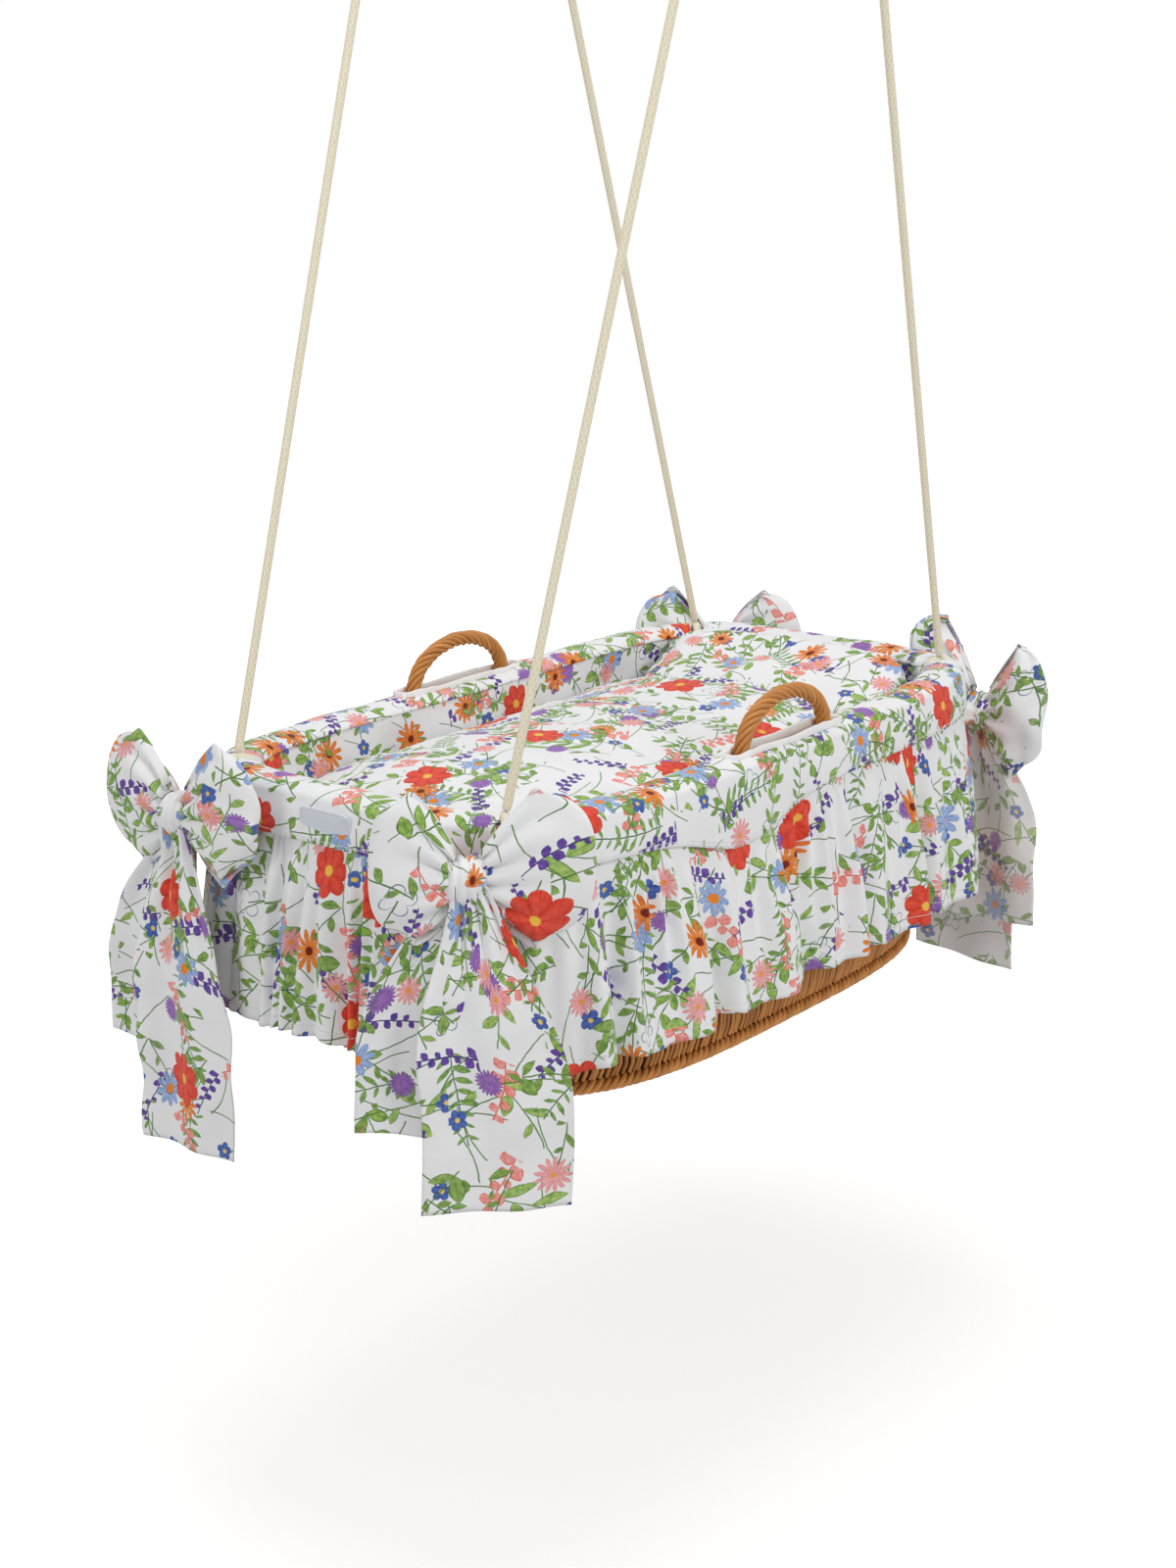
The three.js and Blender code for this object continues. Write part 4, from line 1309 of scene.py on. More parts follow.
@dataclass
class Cover:
    """The printed cover: padded rim collar, gathered ruffle, liner, bindings and patch."""

    crown_thickness: float = 0.009
    crown_drop: float = 0.010
    reach_out: float = 0.009
    reach_in: float = 0.033
    band_depth: float = 0.044
    band_reach: float = 0.014
    seam_sag: float = 0.028
    seam_place: float = -0.100
    seam_width: float = 0.080
    slot_half_length: float = 0.088
    slot_half_width: float = 0.010
    slot_shift: float = -0.007
    slit_width: float = 0.016
    slit_cut_length: float = 0.088
    slit_top: float = 0.034
    slit_bottom: float = -0.042
    border_line: float = 0.011
    corner_reach: float = 0.353
    ruffle_drop: float = 0.211
    ruffle_lift: float = 0.004
    ruffle_top: float = 0.009
    ruffle_hem: float = 0.034
    folds: int = 36
    ruffle_columns: int = 1368
    ruffle_rows: int = 34
    fold_start: float = 0.125
    fold_drift: Waves = ((0.22, 5, 0), (0.16, 13, 0))
    fold_at_seam: float = 0.0012
    fold_at_hem: float = 0.0086
    middle_folds: int = 79
    middle_drift: Waves = ((0.5, 9, 2), (0.3, 17, 0))
    middle_fold: float = 0.0034
    seam_gathers: int = 173
    seam_drift: Waves = ((0.9, 19, 0), (0.6, 31, 1))
    seam_gather: float = 0.0019
    end_folds: int = 104
    end_drift: Waves = ((0.35, 23, 0), (0.3, 14, 1))
    end_fold: float = 0.0062
    slow_waves: Waves = ((0.5, 11, 1), (0.5, 7, 0))
    slow_size: float = 0.0012
    sway: float = 0.0034
    wide_sway: float = 0.0062
    hem_wave: float = 0.0022
    hem_drift: float = 0.0015
    cloth: float = 0.0011
    stitch_stand: float = 0.0003
    band_bulge: float = 0.0016
    pucker_share: float = 0.35
    crown_wave: float = 0.0009
    back_top: float = 0.0006
    back_reach: float = 0.0009
    edge_inset: float = 0.0223
    under_gap: float = 0.0003
    seam_stitch_rise: float = 0.004
    seam_stitch_stand: float = 0.0011
    liner_insets: tuple[float, float] = (0.0306, 0.024)
    liner_back_insets: tuple[float, float] = (0.0226, 0.016)
    liner_fold: float = 0.0021
    liner_play: float = 0.0008
    liner_top: float = -0.0103
    liner_floor: float = -0.2556
    liner_under: float = -0.2584
    patch_half_width: float = 0.0295
    patch_half_height: float = 0.0150
    patch_height: float = -0.027

    def build(self) -> list[bpy.types.Object]:
        """Builds every piece of the cover.

        Returns:
            The pieces.
        """
        pieces = [self.collar(), self.ruffle(), self.liner(), self.patch()]
        pieces += [self.binding("left", 1), self.binding("right", -1), self.seam_thread()]
        return pieces

    def seam_drop(self, x: np.ndarray, y: np.ndarray) -> np.ndarray:
        """How much lower the gathering seam hangs near each handle."""
        side = smooth(abs(y), FORM.rim_half_width / 2, FORM.rim_half_width)
        return self.seam_sag * side * np.exp(-(((x - self.seam_place) / self.seam_width) ** 2))

    def wide_folds(self, share: np.ndarray) -> np.ndarray:
        """The turn of the wide folds, which drift a little, at shares of the way round the basket."""
        return TURN * (self.folds * share + self.fold_start + ripple(share, self.fold_drift))

    def gathers(self, share: np.ndarray, depth: np.ndarray | float) -> np.ndarray:
        """Displacement of the gathered cloth, from crisp gathers at the seam to wide folds at the hem.

        Args:
            share: how far round the basket.
            depth: 0 at the seam and 1 at the hem.

        Returns:
            Metres outwards.
        """
        wide, slow = self.wide_folds(share), ripple(share, self.slow_waves)
        middle = TURN * (self.middle_folds * share + ripple(share, self.middle_drift))
        tight = TURN * (self.seam_gathers * share + ripple(share, self.seam_drift))
        narrow = TURN * (self.end_folds * share + ripple(share, self.end_drift))
        pair = np.cos(wide) + 0.8 * np.cos(wide / 2 + 1.1) + 0.22 * np.cos(2 * wide + 0.7)
        ends = 1 - smooth(abs(share - np.round(share * 2) / 2), 0.055, 0.088)
        hem_fold = lerp(self.fold_at_seam, self.fold_at_hem, smooth(depth, 0.0, 0.75)) * pair
        hem_fold = hem_fold * (1 - 0.55 * ends)
        hem_fold += self.end_fold * ends * smooth(depth, 0.0, 0.4) * (1.6 * abs(np.sin(narrow / 2)) - 0.9)
        mid_fold = self.middle_fold * smooth(depth, 0.02, 0.22) * (1 - smooth(depth, 0.4, 1.05))
        mid_fold = mid_fold * np.cos(middle) * (1 + 0.5 * slow)
        small = self.seam_gather * np.exp(-np.asarray(depth) / 0.17)
        small = small * (2 * abs(np.sin(tight / 2)) ** 0.7 - 1.2) * (1 + 0.4 * slow)
        return hem_fold + mid_fold + small + self.slow_size * slow * smooth(depth, 0.1, 0.5)

    def collar(self) -> bpy.types.Object:
        """The padded collar over the rim border, open at the handles and the rope corners."""
        count, band, crown = 840, 14, 20
        rows: list[tuple[float, float]] = []
        for share in np.linspace(0, 1, band):
            bulge = self.band_bulge * math.sin(math.pi * share)
            rows.append((lerp(self.band_reach, self.reach_out, share) + bulge,
                         lerp(-self.band_depth, -self.crown_drop, share)))
        middle = (self.reach_out - self.reach_in) / 2
        half = (self.reach_out + self.reach_in) / 2
        for angle in np.linspace(0, np.pi, crown)[1:]:
            height = -self.crown_drop + self.crown_drop * math.sin(angle)
            rows.append((middle + half * math.cos(angle), height))
        top = len(rows)
        under = -self.crown_thickness + self.under_gap
        rows += [(-self.edge_inset, -self.crown_drop), (-self.edge_inset, under), (self.back_top, under)]
        rows += [(self.back_reach, lerp(under, -self.band_depth, share)) for share in (0.35, 0.7, 1.0)]
        share_round = np.arange(count) / count
        rings = []
        for index, (spread, height) in enumerate(rows):
            near = 1 - smooth(index / (band - 1), 0.0, 1.0) if index < band else 0.0
            pucker = self.gathers(share_round, 0.0) * self.pucker_share * near**2
            soft = self.crown_wave * math.sin(math.pi * min(1, index / (top - 1))) if index < top else 0.0
            base = FORM.ring(spread, height, 0.0, count)
            wave = soft * soft_noise(base[:, :2], 0.09, 5) if soft else 0.0
            ring = FORM.ring(np.full(count, spread) + pucker + wave, height, 0.0, count)
            ring[:, 2] += wave * 0.8
            hang = 1 - index / (band - 1) if index < band else float(index == len(rows) - 1)
            ring[:, 2] -= self.seam_drop(ring[:, 0], ring[:, 1]) * hang
            rings.append(ring)
        grid = FORM.placed(np.array(rings))
        u, v = self.wrap_uv(grid)
        body = MeshBook("cover_collar").grid(grid, u, v, wrap=True, loop=True).make(Finish.PRINT)
        self.cut(body)
        dress(body, "cradle", "cotton_print", "collar")
        return body

    def wrap_uv(self, grid: np.ndarray) -> tuple[np.ndarray, np.ndarray]:
        """UV metres for rings round the basket."""
        around = run_along(np.vstack([grid[0], grid[0][:1]]))
        down = settled(cumulated(grid, 0))
        down = down - down[len(down) // 2]
        down = np.vstack([down, down[-1:] + 0.02])
        down = np.hstack([down, down[:, :1]])
        return np.broadcast_to(around, down.shape), down

    def cut(self, body: bpy.types.Object) -> None:
        """Cuts the rope slits and the handle slots out of a piece.

        Args:
            body: the piece.
        """
        cutters = []
        for corner in CORNERS:
            point, out = FORM.rim_point(corner.end, corner.side, self.corner_reach)
            centre = point - out * self.border_line
            middle = Vector((centre[0], centre[1], (self.slit_top + self.slit_bottom) / 2 - HANGING_HEIGHT))
            turn = Matrix.Rotation(math.atan2(out[1], out[0]), 4, "Z")
            height = self.slit_top - self.slit_bottom
            size = Matrix.Diagonal((self.slit_cut_length, self.slit_width, height, 1))
            box = bmesh.new()
            bmesh.ops.create_cube(box, size=1.0)
            box.transform(Matrix.Translation(middle) @ turn @ size)
            mesh = bpy.data.meshes.new("slit_cutter")
            box.to_mesh(mesh)
            box.free()
            cutters.append(object_of("slit_cutter", mesh))
        for side in (1, -1):
            cutters.append(self.slot_cutter(side))
        for cutter in cutters:
            knife = body.modifiers.new("cut", "BOOLEAN")
            knife.operation = "DIFFERENCE"
            knife.solver = "EXACT"
            knife.object = cutter
        baked(body)
        for cutter in cutters:
            bpy.data.objects.remove(cutter)

    def slot_ring(self, side: int, inset: float, height: float, count: int = 96) -> np.ndarray:
        """The handle slot's outline at a height above the cover's rim."""
        flat = superellipse(circle(count), self.slot_half_length - inset, self.slot_half_width - inset, 2 / 8)
        middle = side * (FORM.rim_half_width - self.border_line)
        return np.column_stack([flat + [self.slot_shift, middle], np.full(count, height)])

    def slot_cutter(self, side: int) -> bpy.types.Object:
        """A block in the shape of a handle's slot."""
        low = FORM.placed(self.slot_ring(side, 0.0, -0.020))
        high = FORM.placed(self.slot_ring(side, 0.0, 0.020))
        flat = np.zeros((2, 97))
        book = MeshBook("slot_cutter").grid(np.array([low, high]), flat, flat, wrap=True)
        return book.cap(low).cap(high).make()

    def ruffle(self) -> bpy.types.Object:
        """The gathered ruffle, one long strip sewn to the collar's lower edge."""
        columns, rows = self.ruffle_columns, self.ruffle_rows
        share = np.arange(columns) / columns
        flat = FORM.ring(0.0, 0.0, 0.0, columns)
        foot = np.maximum(0, -flat[:, 0] / FORM.rim_half_length) ** 6
        wide = self.wide_folds(share)
        along = ring_heading(flat)
        knots = np.array([FORM.rim_point(bow.end, bow.side, bow.reach)[0][:2] for bow in BOWS])
        away = np.linalg.norm(flat[:, None, :2] - knots[None], axis=2).min(1)
        pressed = lerp(0.45, 1.0, smooth(away, 0.05, 0.12))
        rings = []
        for depth in np.linspace(-0.03, 1, rows):
            held = max(depth, 0.0)
            reach = lerp(self.ruffle_top, self.ruffle_hem, held**0.8)
            ring = FORM.ring(reach + self.gathers(share, held) * pressed, 0.0, 0.0, columns)
            top = -self.band_depth - self.seam_drop(ring[:, 0], ring[:, 1])
            uneven = self.hem_wave * np.cos(wide + 0.6) * held
            uneven = uneven + self.hem_drift * soft_noise(flat[:, :2], 0.12, 9) * held
            ring[:, 2] = lerp(top, -self.ruffle_drop + self.ruffle_lift * foot + uneven, depth)
            sway = self.sway * np.sin(wide) + self.wide_sway * np.sin(wide / 2 + 1.1)
            ring += along * (sway * pressed * smooth(held, 0.1, 1.0))[:, None]
            rings.append(ring)
        grid = FORM.placed(np.array(rings))
        around = run_along(np.vstack([grid[-1], grid[-1][:1]]))
        lengths = settled(cumulated(grid, 0))
        u = np.broadcast_to(around, (rows, columns + 1))
        v = 0.3 + np.hstack([lengths, lengths[:, :1]])
        book = MeshBook("ruffle_cloth").grid(grid, u, v, wrap=True)
        cloth = book.make(Finish.PRINT, Finish.REVERSE, outward=False)
        self.face_out(cloth)
        thickened(cloth, self.cloth, -1.0)
        dress(cloth, "cradle", "cotton_print", "ruffle")
        hem_line = grid[-3] + self.outward(grid[-3]) * self.stitch_stand
        hem = STITCHES.run(line_mesh("ruffle_hem_stitches", [hem_line], True), Finish.THREAD)
        dress(hem, "cradle", "binding")
        return cloth

    @staticmethod
    def outward(ring: np.ndarray) -> np.ndarray:
        """The outward direction at each point of a ring."""
        along = ring_heading(ring)
        return unit(np.column_stack([along[:, 1], -along[:, 0], np.zeros(len(ring))]))

    @staticmethod
    def face_out(thing: bpy.types.Object) -> None:
        """Turns an open band's faces away from the basket's middle."""
        mesh = thing.data
        polygon = mesh.polygons[len(mesh.polygons) // 2]
        if polygon.normal.dot(Vector((polygon.center.x, polygon.center.y, 0))) < 0:
            mesh.flip_normals()

    def liner(self) -> bpy.types.Object:
        """The cloth bowl inside the basket, softly padded."""
        count = 480
        rings = []
        for share in np.concatenate([np.linspace(0, 0.5, 22), np.linspace(0.54, 1, 12)]):
            spread = -lerp(*self.liner_insets, share)
            height = lerp(self.liner_top, self.liner_floor, share)
            base = FORM.ring(spread, height, share, count)
            sample = np.column_stack([base[:, :2], np.full(count, height * 0.15)])
            fold = self.liner_fold * soft_noise(sample, 0.05, 21) * float(smooth(share, 0.0, 0.12))
            rings.append(FORM.ring(spread + fold - self.liner_play, height, share, count))
        inner = FORM.placed(np.array(rings))
        backs = []
        for share in (1.0, 0.5, 0.0):
            height = lerp(self.liner_top, self.liner_under, share)
            backs.append(FORM.ring(-lerp(*self.liner_back_insets, share), height, share, count))
        outer = FORM.placed(np.array(backs))
        u, v = self.wrap_uv(inner)
        u2, v2 = self.wrap_uv(outer)
        book = MeshBook("cover_liner").grid(inner, u[:-1], v[:-1] + 0.7, wrap=True)
        book.grid(outer, u2[:-1], v2[:-1], wrap=True)
        joint = np.array([outer[-1], inner[0]])
        book.grid(joint, u[:2], v[:2] + 0.7, wrap=True)
        book.cap(inner[-1]).cap(outer[0])
        body = book.make(Finish.PRINT)
        dress(body, "cradle", "cotton_print", "liner")
        return body

    def patch(self) -> bpy.types.Object:
        """A bare sewn patch with rounded corners on the foot end's band."""
        half_width = self.patch_half_width
        flat = superellipse(circle(96), half_width, self.patch_half_height, 2 / 6)
        tilt = math.atan2(self.band_reach - self.reach_out, self.band_depth - self.crown_drop)
        reach = FORM.rim_half_length + (self.band_reach + self.reach_out) / 2 + 0.0016
        centre = np.array([-reach, 0, self.patch_height])

        def lift(ring: np.ndarray, out: float) -> np.ndarray:
            """Stands a flat ring on the band's sloping face."""
            slope = np.array([-math.sin(tilt), 0, math.cos(tilt)])
            points = centre + np.outer(ring[:, 0], [0, 1, 0]) - np.outer(ring[:, 1], -slope * [1, 1, 1])
            sag = (ring[:, 0] / half_width) ** 2 * 0.0006
            return points - np.outer(np.full(len(ring), out) - sag, [math.cos(tilt), 0, math.sin(tilt)])

        turned_edge = ((0.97, -0.0006), (1.0, 0.0002), (0.985, 0.0011), (0.93, 0.0014), (0.9, 0.0010),
                       (0.86, 0.0014), (0.4, 0.0015))
        grid = FORM.placed(np.array([lift(flat * share, out) for share, out in turned_edge]))
        u = np.broadcast_to(np.append(flat[:, 0], flat[0, 0]), (len(grid), 97))
        v = np.broadcast_to(np.append(flat[:, 1], flat[0, 1]), (len(grid), 97))
        book = MeshBook("sewn_patch").grid(grid, u, v, wrap=True).cap(grid[0]).cap(grid[-1])
        body = book.make(Finish.PATCH)
        dress(body, "cradle", "label", "label_patch")
        seam = FORM.placed(lift(flat * 0.9, 0.0013))
        thread = STITCHES.run(line_mesh("patch_stitches", [seam], True), Finish.THREAD, Pitch=0.0026,
                              Length=0.0018)
        dress(thread, "cradle", "binding")
        return body

    def binding(self, word: str, side: int) -> bpy.types.Object:
        """The white bias binding round a handle's slot."""
        rings = []
        for inset, height in ((0.0004, -0.0084), (-0.0003, 0.0000), (-0.0002, 0.0030), (0.0003, 0.0044),
                              (0.0012, 0.0042), (0.0018, 0.0028), (0.0018, -0.0084)):
            ring = self.slot_ring(side, inset, height, 200)
            uneven = 0.0009 * np.sin(ring[:, 0] * 70 + side) + 0.0004 * np.sin(ring[:, 0] * 310)
            ring[:, 2] += uneven * (height > 0.002)
            rings.append(ring)
        grid = FORM.placed(np.array(rings))
        u, v = self.wrap_uv(grid)
        body = MeshBook(f"slot_binding_{word}").grid(grid, u, v, wrap=True, loop=True).make(Finish.BINDING)
        return dress(body, "cradle", "binding", f"slit_binding_{word}")

    def seam_thread(self) -> bpy.types.Object:
        """The stitches above the gathering seam."""
        reach, height = self.band_reach + self.seam_stitch_stand, self.seam_stitch_rise - self.band_depth
        ring = FORM.ring(reach, height, 0.0, 720)
        ring[:, 2] -= self.seam_drop(ring[:, 0], ring[:, 1]) * 0.9
        piece = STITCHES.run(line_mesh("seam_stitches", [FORM.placed(ring)], True), Finish.THREAD)
        return dress(piece, "cradle", "binding")


COVER = Cover()


# Bedding


@dataclass(frozen=True)
class Cushion:
    """One padded piece, grown from the solid that it fills. Lengths in metres."""

    node: str
    finish: Finish
    slot: str
    fill: float
    voxel: float
    shrink: float = 0.0
    cap: float = 0.0


@dataclass
class Bedding:
    """Mattress, quilt and pillow."""

    cushions: tuple[Cushion, ...] = (
        Cushion("mattress", Finish.TICKING, "mattress_cloth", 0.8, 0.010),
        Cushion("quilt", Finish.PRINT, "cotton_print", 0.6, 0.006, 0.0022, 0.0045),
        Cushion("pillow", Finish.PRINT, "cotton_print", 0.7, 0.0045, 0.0030, 0.0060),
    )
    pressure: float = 4.0
    frames: int = 20
    node_weld: float = 1e-5

    def build(self) -> list[bpy.types.Object]:
        """Builds and dresses the three pieces.

        Returns:
            The pieces.
        """
        pieces = [self.pad(cushion) for cushion in self.cushions]
        for piece, cushion in zip(pieces, self.cushions):
            dress(piece, cushion.node, cushion.slot, cushion.node)
        return pieces

    def pad(self, cushion: Cushion) -> bpy.types.Object:
        """A padded form grown from a solid of the model.

        Args:
            cushion: what it is grown from, and how far it swells.

        Returns:
            The piece.
        """
        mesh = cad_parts[cushion.node].data.copy()
        weld(mesh, self.node_weld)
        thing = object_of(f"{cushion.node}_pad", mesh, cushion.finish)
        remesh = thing.modifiers.new("even", "REMESH")
        remesh.mode = "VOXEL"
        remesh.voxel_size = cushion.voxel
        rounder = thing.modifiers.new("round", "SMOOTH")
        rounder.factor = 0.5
        rounder.iterations = 4
        baked(thing)
        if cushion.shrink:
            self.swell(thing, cushion.shrink, cushion.cap)
        self.crease(thing.data)
        self.flat_uv(thing.data)
        thing.data.shade_smooth()
        return thing

    @staticmethod
    def read(mesh: bpy.types.Mesh, name: str) -> np.ndarray:
        """Every point's place, by the name co, or its normal, count by 3."""
        values = np.zeros(len(mesh.vertices) * 3)
        mesh.vertices.foreach_get(name, values)
        return values.reshape(-1, 3)

    @staticmethod
    def move(mesh: bpy.types.Mesh, points: np.ndarray) -> None:
        """Puts every point of a mesh in its new place."""
        mesh.vertices.foreach_set("co", points.ravel())
        mesh.update()

    def swell(self, thing: bpy.types.Object, shrink: float, cap: float) -> None:
        """Blows a piece up with cloth under pressure.

        Args:
            thing: the piece.
            shrink: how far it is drawn in first.
            cap: how far a point may move.
        """
        start = self.read(thing.data, "co") - self.read(thing.data, "normal") * shrink
        self.move(thing.data, start)
        cloth = thing.modifiers.new("cloth", "CLOTH")
        cloth.settings.use_pressure = True
        cloth.settings.uniform_pressure_force = self.pressure
        cloth.settings.effector_weights.gravity = 0.0
        cloth.settings.quality = 4
        scene = bpy.context.scene
        for index in range(1, self.frames + 1):
            scene.frame_set(index)
        graph = bpy.context.evaluated_depsgraph_get()
        move = self.read(thing.evaluated_get(graph).data, "co") - start
        size = np.linalg.norm(move, axis=1)
        move *= np.minimum(1.0, cap / np.maximum(size, 1e-9))[:, None]
        thing.modifiers.clear()
        scene.frame_set(1)
        self.move(thing.data, start + move)

    def crease(self, mesh: bpy.types.Mesh) -> None:
        """Adds soft dents and wrinkles to a cushion's cloth."""
        points = self.read(mesh, "co")
        dent = 0.0011 * soft_noise(points, 0.10, 31) + 0.0006 * soft_noise(points, 0.035, 32)
        self.move(mesh, points + self.read(mesh, "normal") * (dent - 0.0008)[:, None])

    def flat_uv(self, mesh: bpy.types.Mesh) -> None:
        """UV metres seen from above, let down over the sides."""
        layer = mesh.uv_layers.get("UVMap") or mesh.uv_layers.new(name="UVMap")
        points = self.read(mesh, "co")
        middle, top = points.mean(0), points[:, 2].max()
        out = points[:, :2] - middle[:2]
        out /= np.maximum(np.linalg.norm(out, axis=1), 1e-6)[:, None]
        flat = points[:, :2] + out * (top - points[:, 2])[:, None] * 0.8
        spots = np.zeros(len(mesh.loops), np.int32)
        mesh.loops.foreach_get("vertex_index", spots)
        layer.data.foreach_set("uv", (flat[spots] + 1.3).astype(np.float32).ravel())


# Bows


@dataclass
class Bow:
    """One sash tied in a bow. Left and right are as seen from outside."""

    name: str
    end: int
    side: int
    reach: float
    stand: float
    height: float
    facing: float
    left_loop: float
    right_loop: float
    long_tail: float
    long_shift: float
    short_tail: float
    short_shift: float
    seed: int
    left_lift: float = 0.0
    right_lift: float = 0.0
    sash_width: float = 0.120
    thickness: float = 0.0011
    loop_turns: float = 2.2
    knot_length: float = 0.14
    knot_half: float = 0.0165
    tie_radius: float = 0.010
    tie_end_radius: float = 0.0125
    crush_power: float = 2.6
    loop_neck: float = 0.010
    loop_gain: float = 0.0505
    loop_pleat: float = 0.0062
    loop_swell: float = 0.0125
    loop_puff: float = 0.0075
    loop_rise: float = 0.013
    loop_sway: float = 0.0030
    loop_crush: float = 0.0060
    tail_starts: tuple[float, float] = (0.010, -0.0025)
    tail_neck: float = 0.011
    tail_half: float = 0.060
    tail_stand: float = 0.016
    tail_wave: float = 0.0050
    tail_pleat: float = 0.0052
    tail_sway: float = 0.0020
    hem_start: float = 0.0125
    hem_end: float = 0.0115
    hem_step: float = 0.0007

    def build(self) -> bpy.types.Object:
        """Builds the sash and sets it on the cover.

        Returns:
            The piece.
        """
        book = MeshBook(f"sash_{self.name}")
        self.loop(book, 1, self.right_loop, self.right_lift)
        self.loop(book, -1, self.left_loop, self.left_lift)
        self.tail(book, self.long_tail, self.long_shift, self.tail_starts[0], 1)
        self.tail(book, self.short_tail, self.short_shift, self.tail_starts[1], 2)
        self.knot(book)
        self.tie(book)
        book.points = [self.placed(points) for points in book.points]
        sash = book.make(Finish.PRINT, Finish.REVERSE, outward=False)
        thickened(sash, self.thickness, 0.0)
        dress(sash, "cradle", "cotton_print", f"bow_{self.name}")
        return sash

    def cover_face(self) -> float:
        """The cover's outer face beyond the rim outline at the knot's height."""
        share = (-self.height - COVER.crown_drop) / (COVER.band_depth - COVER.crown_drop)
        return lerp(COVER.reach_out, COVER.band_reach, min(1.0, max(0.0, share)))

    def placed(self, points: np.ndarray) -> np.ndarray:
        """Moves points from the knot to their place on the basket."""
        spot, out = FORM.rim_point(self.end, self.side, self.reach)
        knot = spot + out * (self.cover_face() + self.stand)
        knot[2] = self.height
        turn = math.radians(self.facing)
        turned = np.array(points)
        turned[:, 0] = points[:, 0] * math.cos(turn) - points[:, 1] * math.sin(turn)
        turned[:, 1] = points[:, 0] * math.sin(turn) + points[:, 1] * math.cos(turn)
        return FORM.placed(turned + knot)

    def loop(self, book: MeshBook, side: int, length: float, lift: float) -> None:
        """A loop: the sash runs out, folds over and comes back to the knot.

        Args:
            book: the sash's mesh.
            side: 1 for the right loop, -1 for the left.
            length: from the knot's middle to the fold.
            lift: how far the fold is raised.
        """
        turn = np.linspace(0.03, 0.97, 52)
        cross = np.sin(np.linspace(-np.pi / 2, np.pi / 2, 41))
        t, c = np.meshgrid(turn, cross, indexing="ij")
        out = np.sin(np.pi * t) ** 0.9
        front = np.cos(np.pi * t)
        half = self.loop_neck + self.loop_gain * np.sin(np.pi / 2 * np.minimum(1, out / 0.62)) ** 1.15
        half = half * (1 - 0.14 * smooth(out, 0.6, 1.0))
        pleats = self.loop_pleat * (1 - smooth(out, 0.10, 0.85)) * smooth(out, 0.0, 0.12)
        pleats = pleats * (1.5 * abs(np.cos(c * np.pi * 2.3 + self.seed + side)) - 0.9)
        swell = self.loop_swell * np.sign(front) * abs(front) ** 0.8 * out**0.55
        puff = self.loop_puff * np.sign(front) * (1 - c**2) * np.sin(np.pi * np.clip(out, 0, 1)) ** 0.8
        place = np.stack([out * 0.1 + 3 * side, c * 0.06], -1)
        sway = self.loop_sway * soft_noise(place, 0.05, self.seed + 3 * side + 10)
        crush = self.loop_crush * soft_noise(place, 0.13, self.seed + 5 * side + 40) * out
        x = swell * (1 - 0.9 * abs(c) ** self.crush_power) + puff + pleats + sway * out + 0.002
        rounded = 1 - (1 - np.minimum(1, abs(c)) ** self.crush_power) ** (1 / self.crush_power)
        y = side * length * out * (1 - (0.46 + 0.03 * side) * rounded * smooth(out, 0.4, 1.0))
        z = (self.loop_rise + lift) * out + c * half + 0.004 * np.sin(np.pi * out) * np.sign(front) + crush
        points = np.stack([x, y, z], -1)
        u = 0.8 * side + cumulated(points, 0).mean(1)[:, None] + 0 * c
        v = c * self.sash_width / 2 + 0.2 * self.seed
        book.grid(points, u, v, flip=side > 0)

    def tail(self, book: MeshBook, length: float, shift: float, forward: float, seed: int) -> None:
        """A tail: gathered below the knot, widening, and standing out past the ruffle.

        Args:
            book: the sash's mesh.
            length: from the knot's middle to the end.
            shift: how far its end is moved to the right.
            forward: how far in front of the knot's middle it starts.
            seed: fixes its folds.
        """
        down = np.linspace(0.0, 1, 60)
        cross = np.linspace(-1, 1, 41)
        s, c = np.meshgrid(down, cross, indexing="ij")
        flare = np.minimum(1, s / 0.62) ** 0.8
        half = lerp(self.tail_neck, self.tail_half, smooth(s, -0.12, 0.60))
        fade = 1 - 0.45 * smooth(s, 0.6, 1.0)
        wave = self.tail_wave * np.minimum(1, s / 0.33) * np.sin(1.5 * np.pi * c + 0.5 * seed) * fade
        pleats = self.tail_pleat * (1 - smooth(s, 0.04, 0.55))
        pleats = pleats * (1.5 * abs(np.cos(c * np.pi * 1.7 + seed)) - 0.9)
        spots = np.stack([c * 0.06 + seed, s * length], -1)
        sway = self.tail_sway * soft_noise(spots, 0.08, self.seed * 5 + seed)
        x = forward + self.tail_stand * smooth(s, 0.0, 0.55) + wave + pleats + sway
        y = shift * flare + half * c + 0.0015 * np.sin(s * 9 + seed)
        x = x + self.hem_step * smooth(s * length, length - self.hem_start, length - self.hem_end)
        z = -length * s + 0.004 * c * smooth(s, 0.6, 1.0) * (1 if seed == 1 else -1)
        points = np.stack([x, y, z], -1)
        u = c * self.sash_width / 2 + 0.37 * self.seed + 0.2 * seed
        v = length * s + 0.11 * self.seed
        book.grid(points, u, v, flip=True)

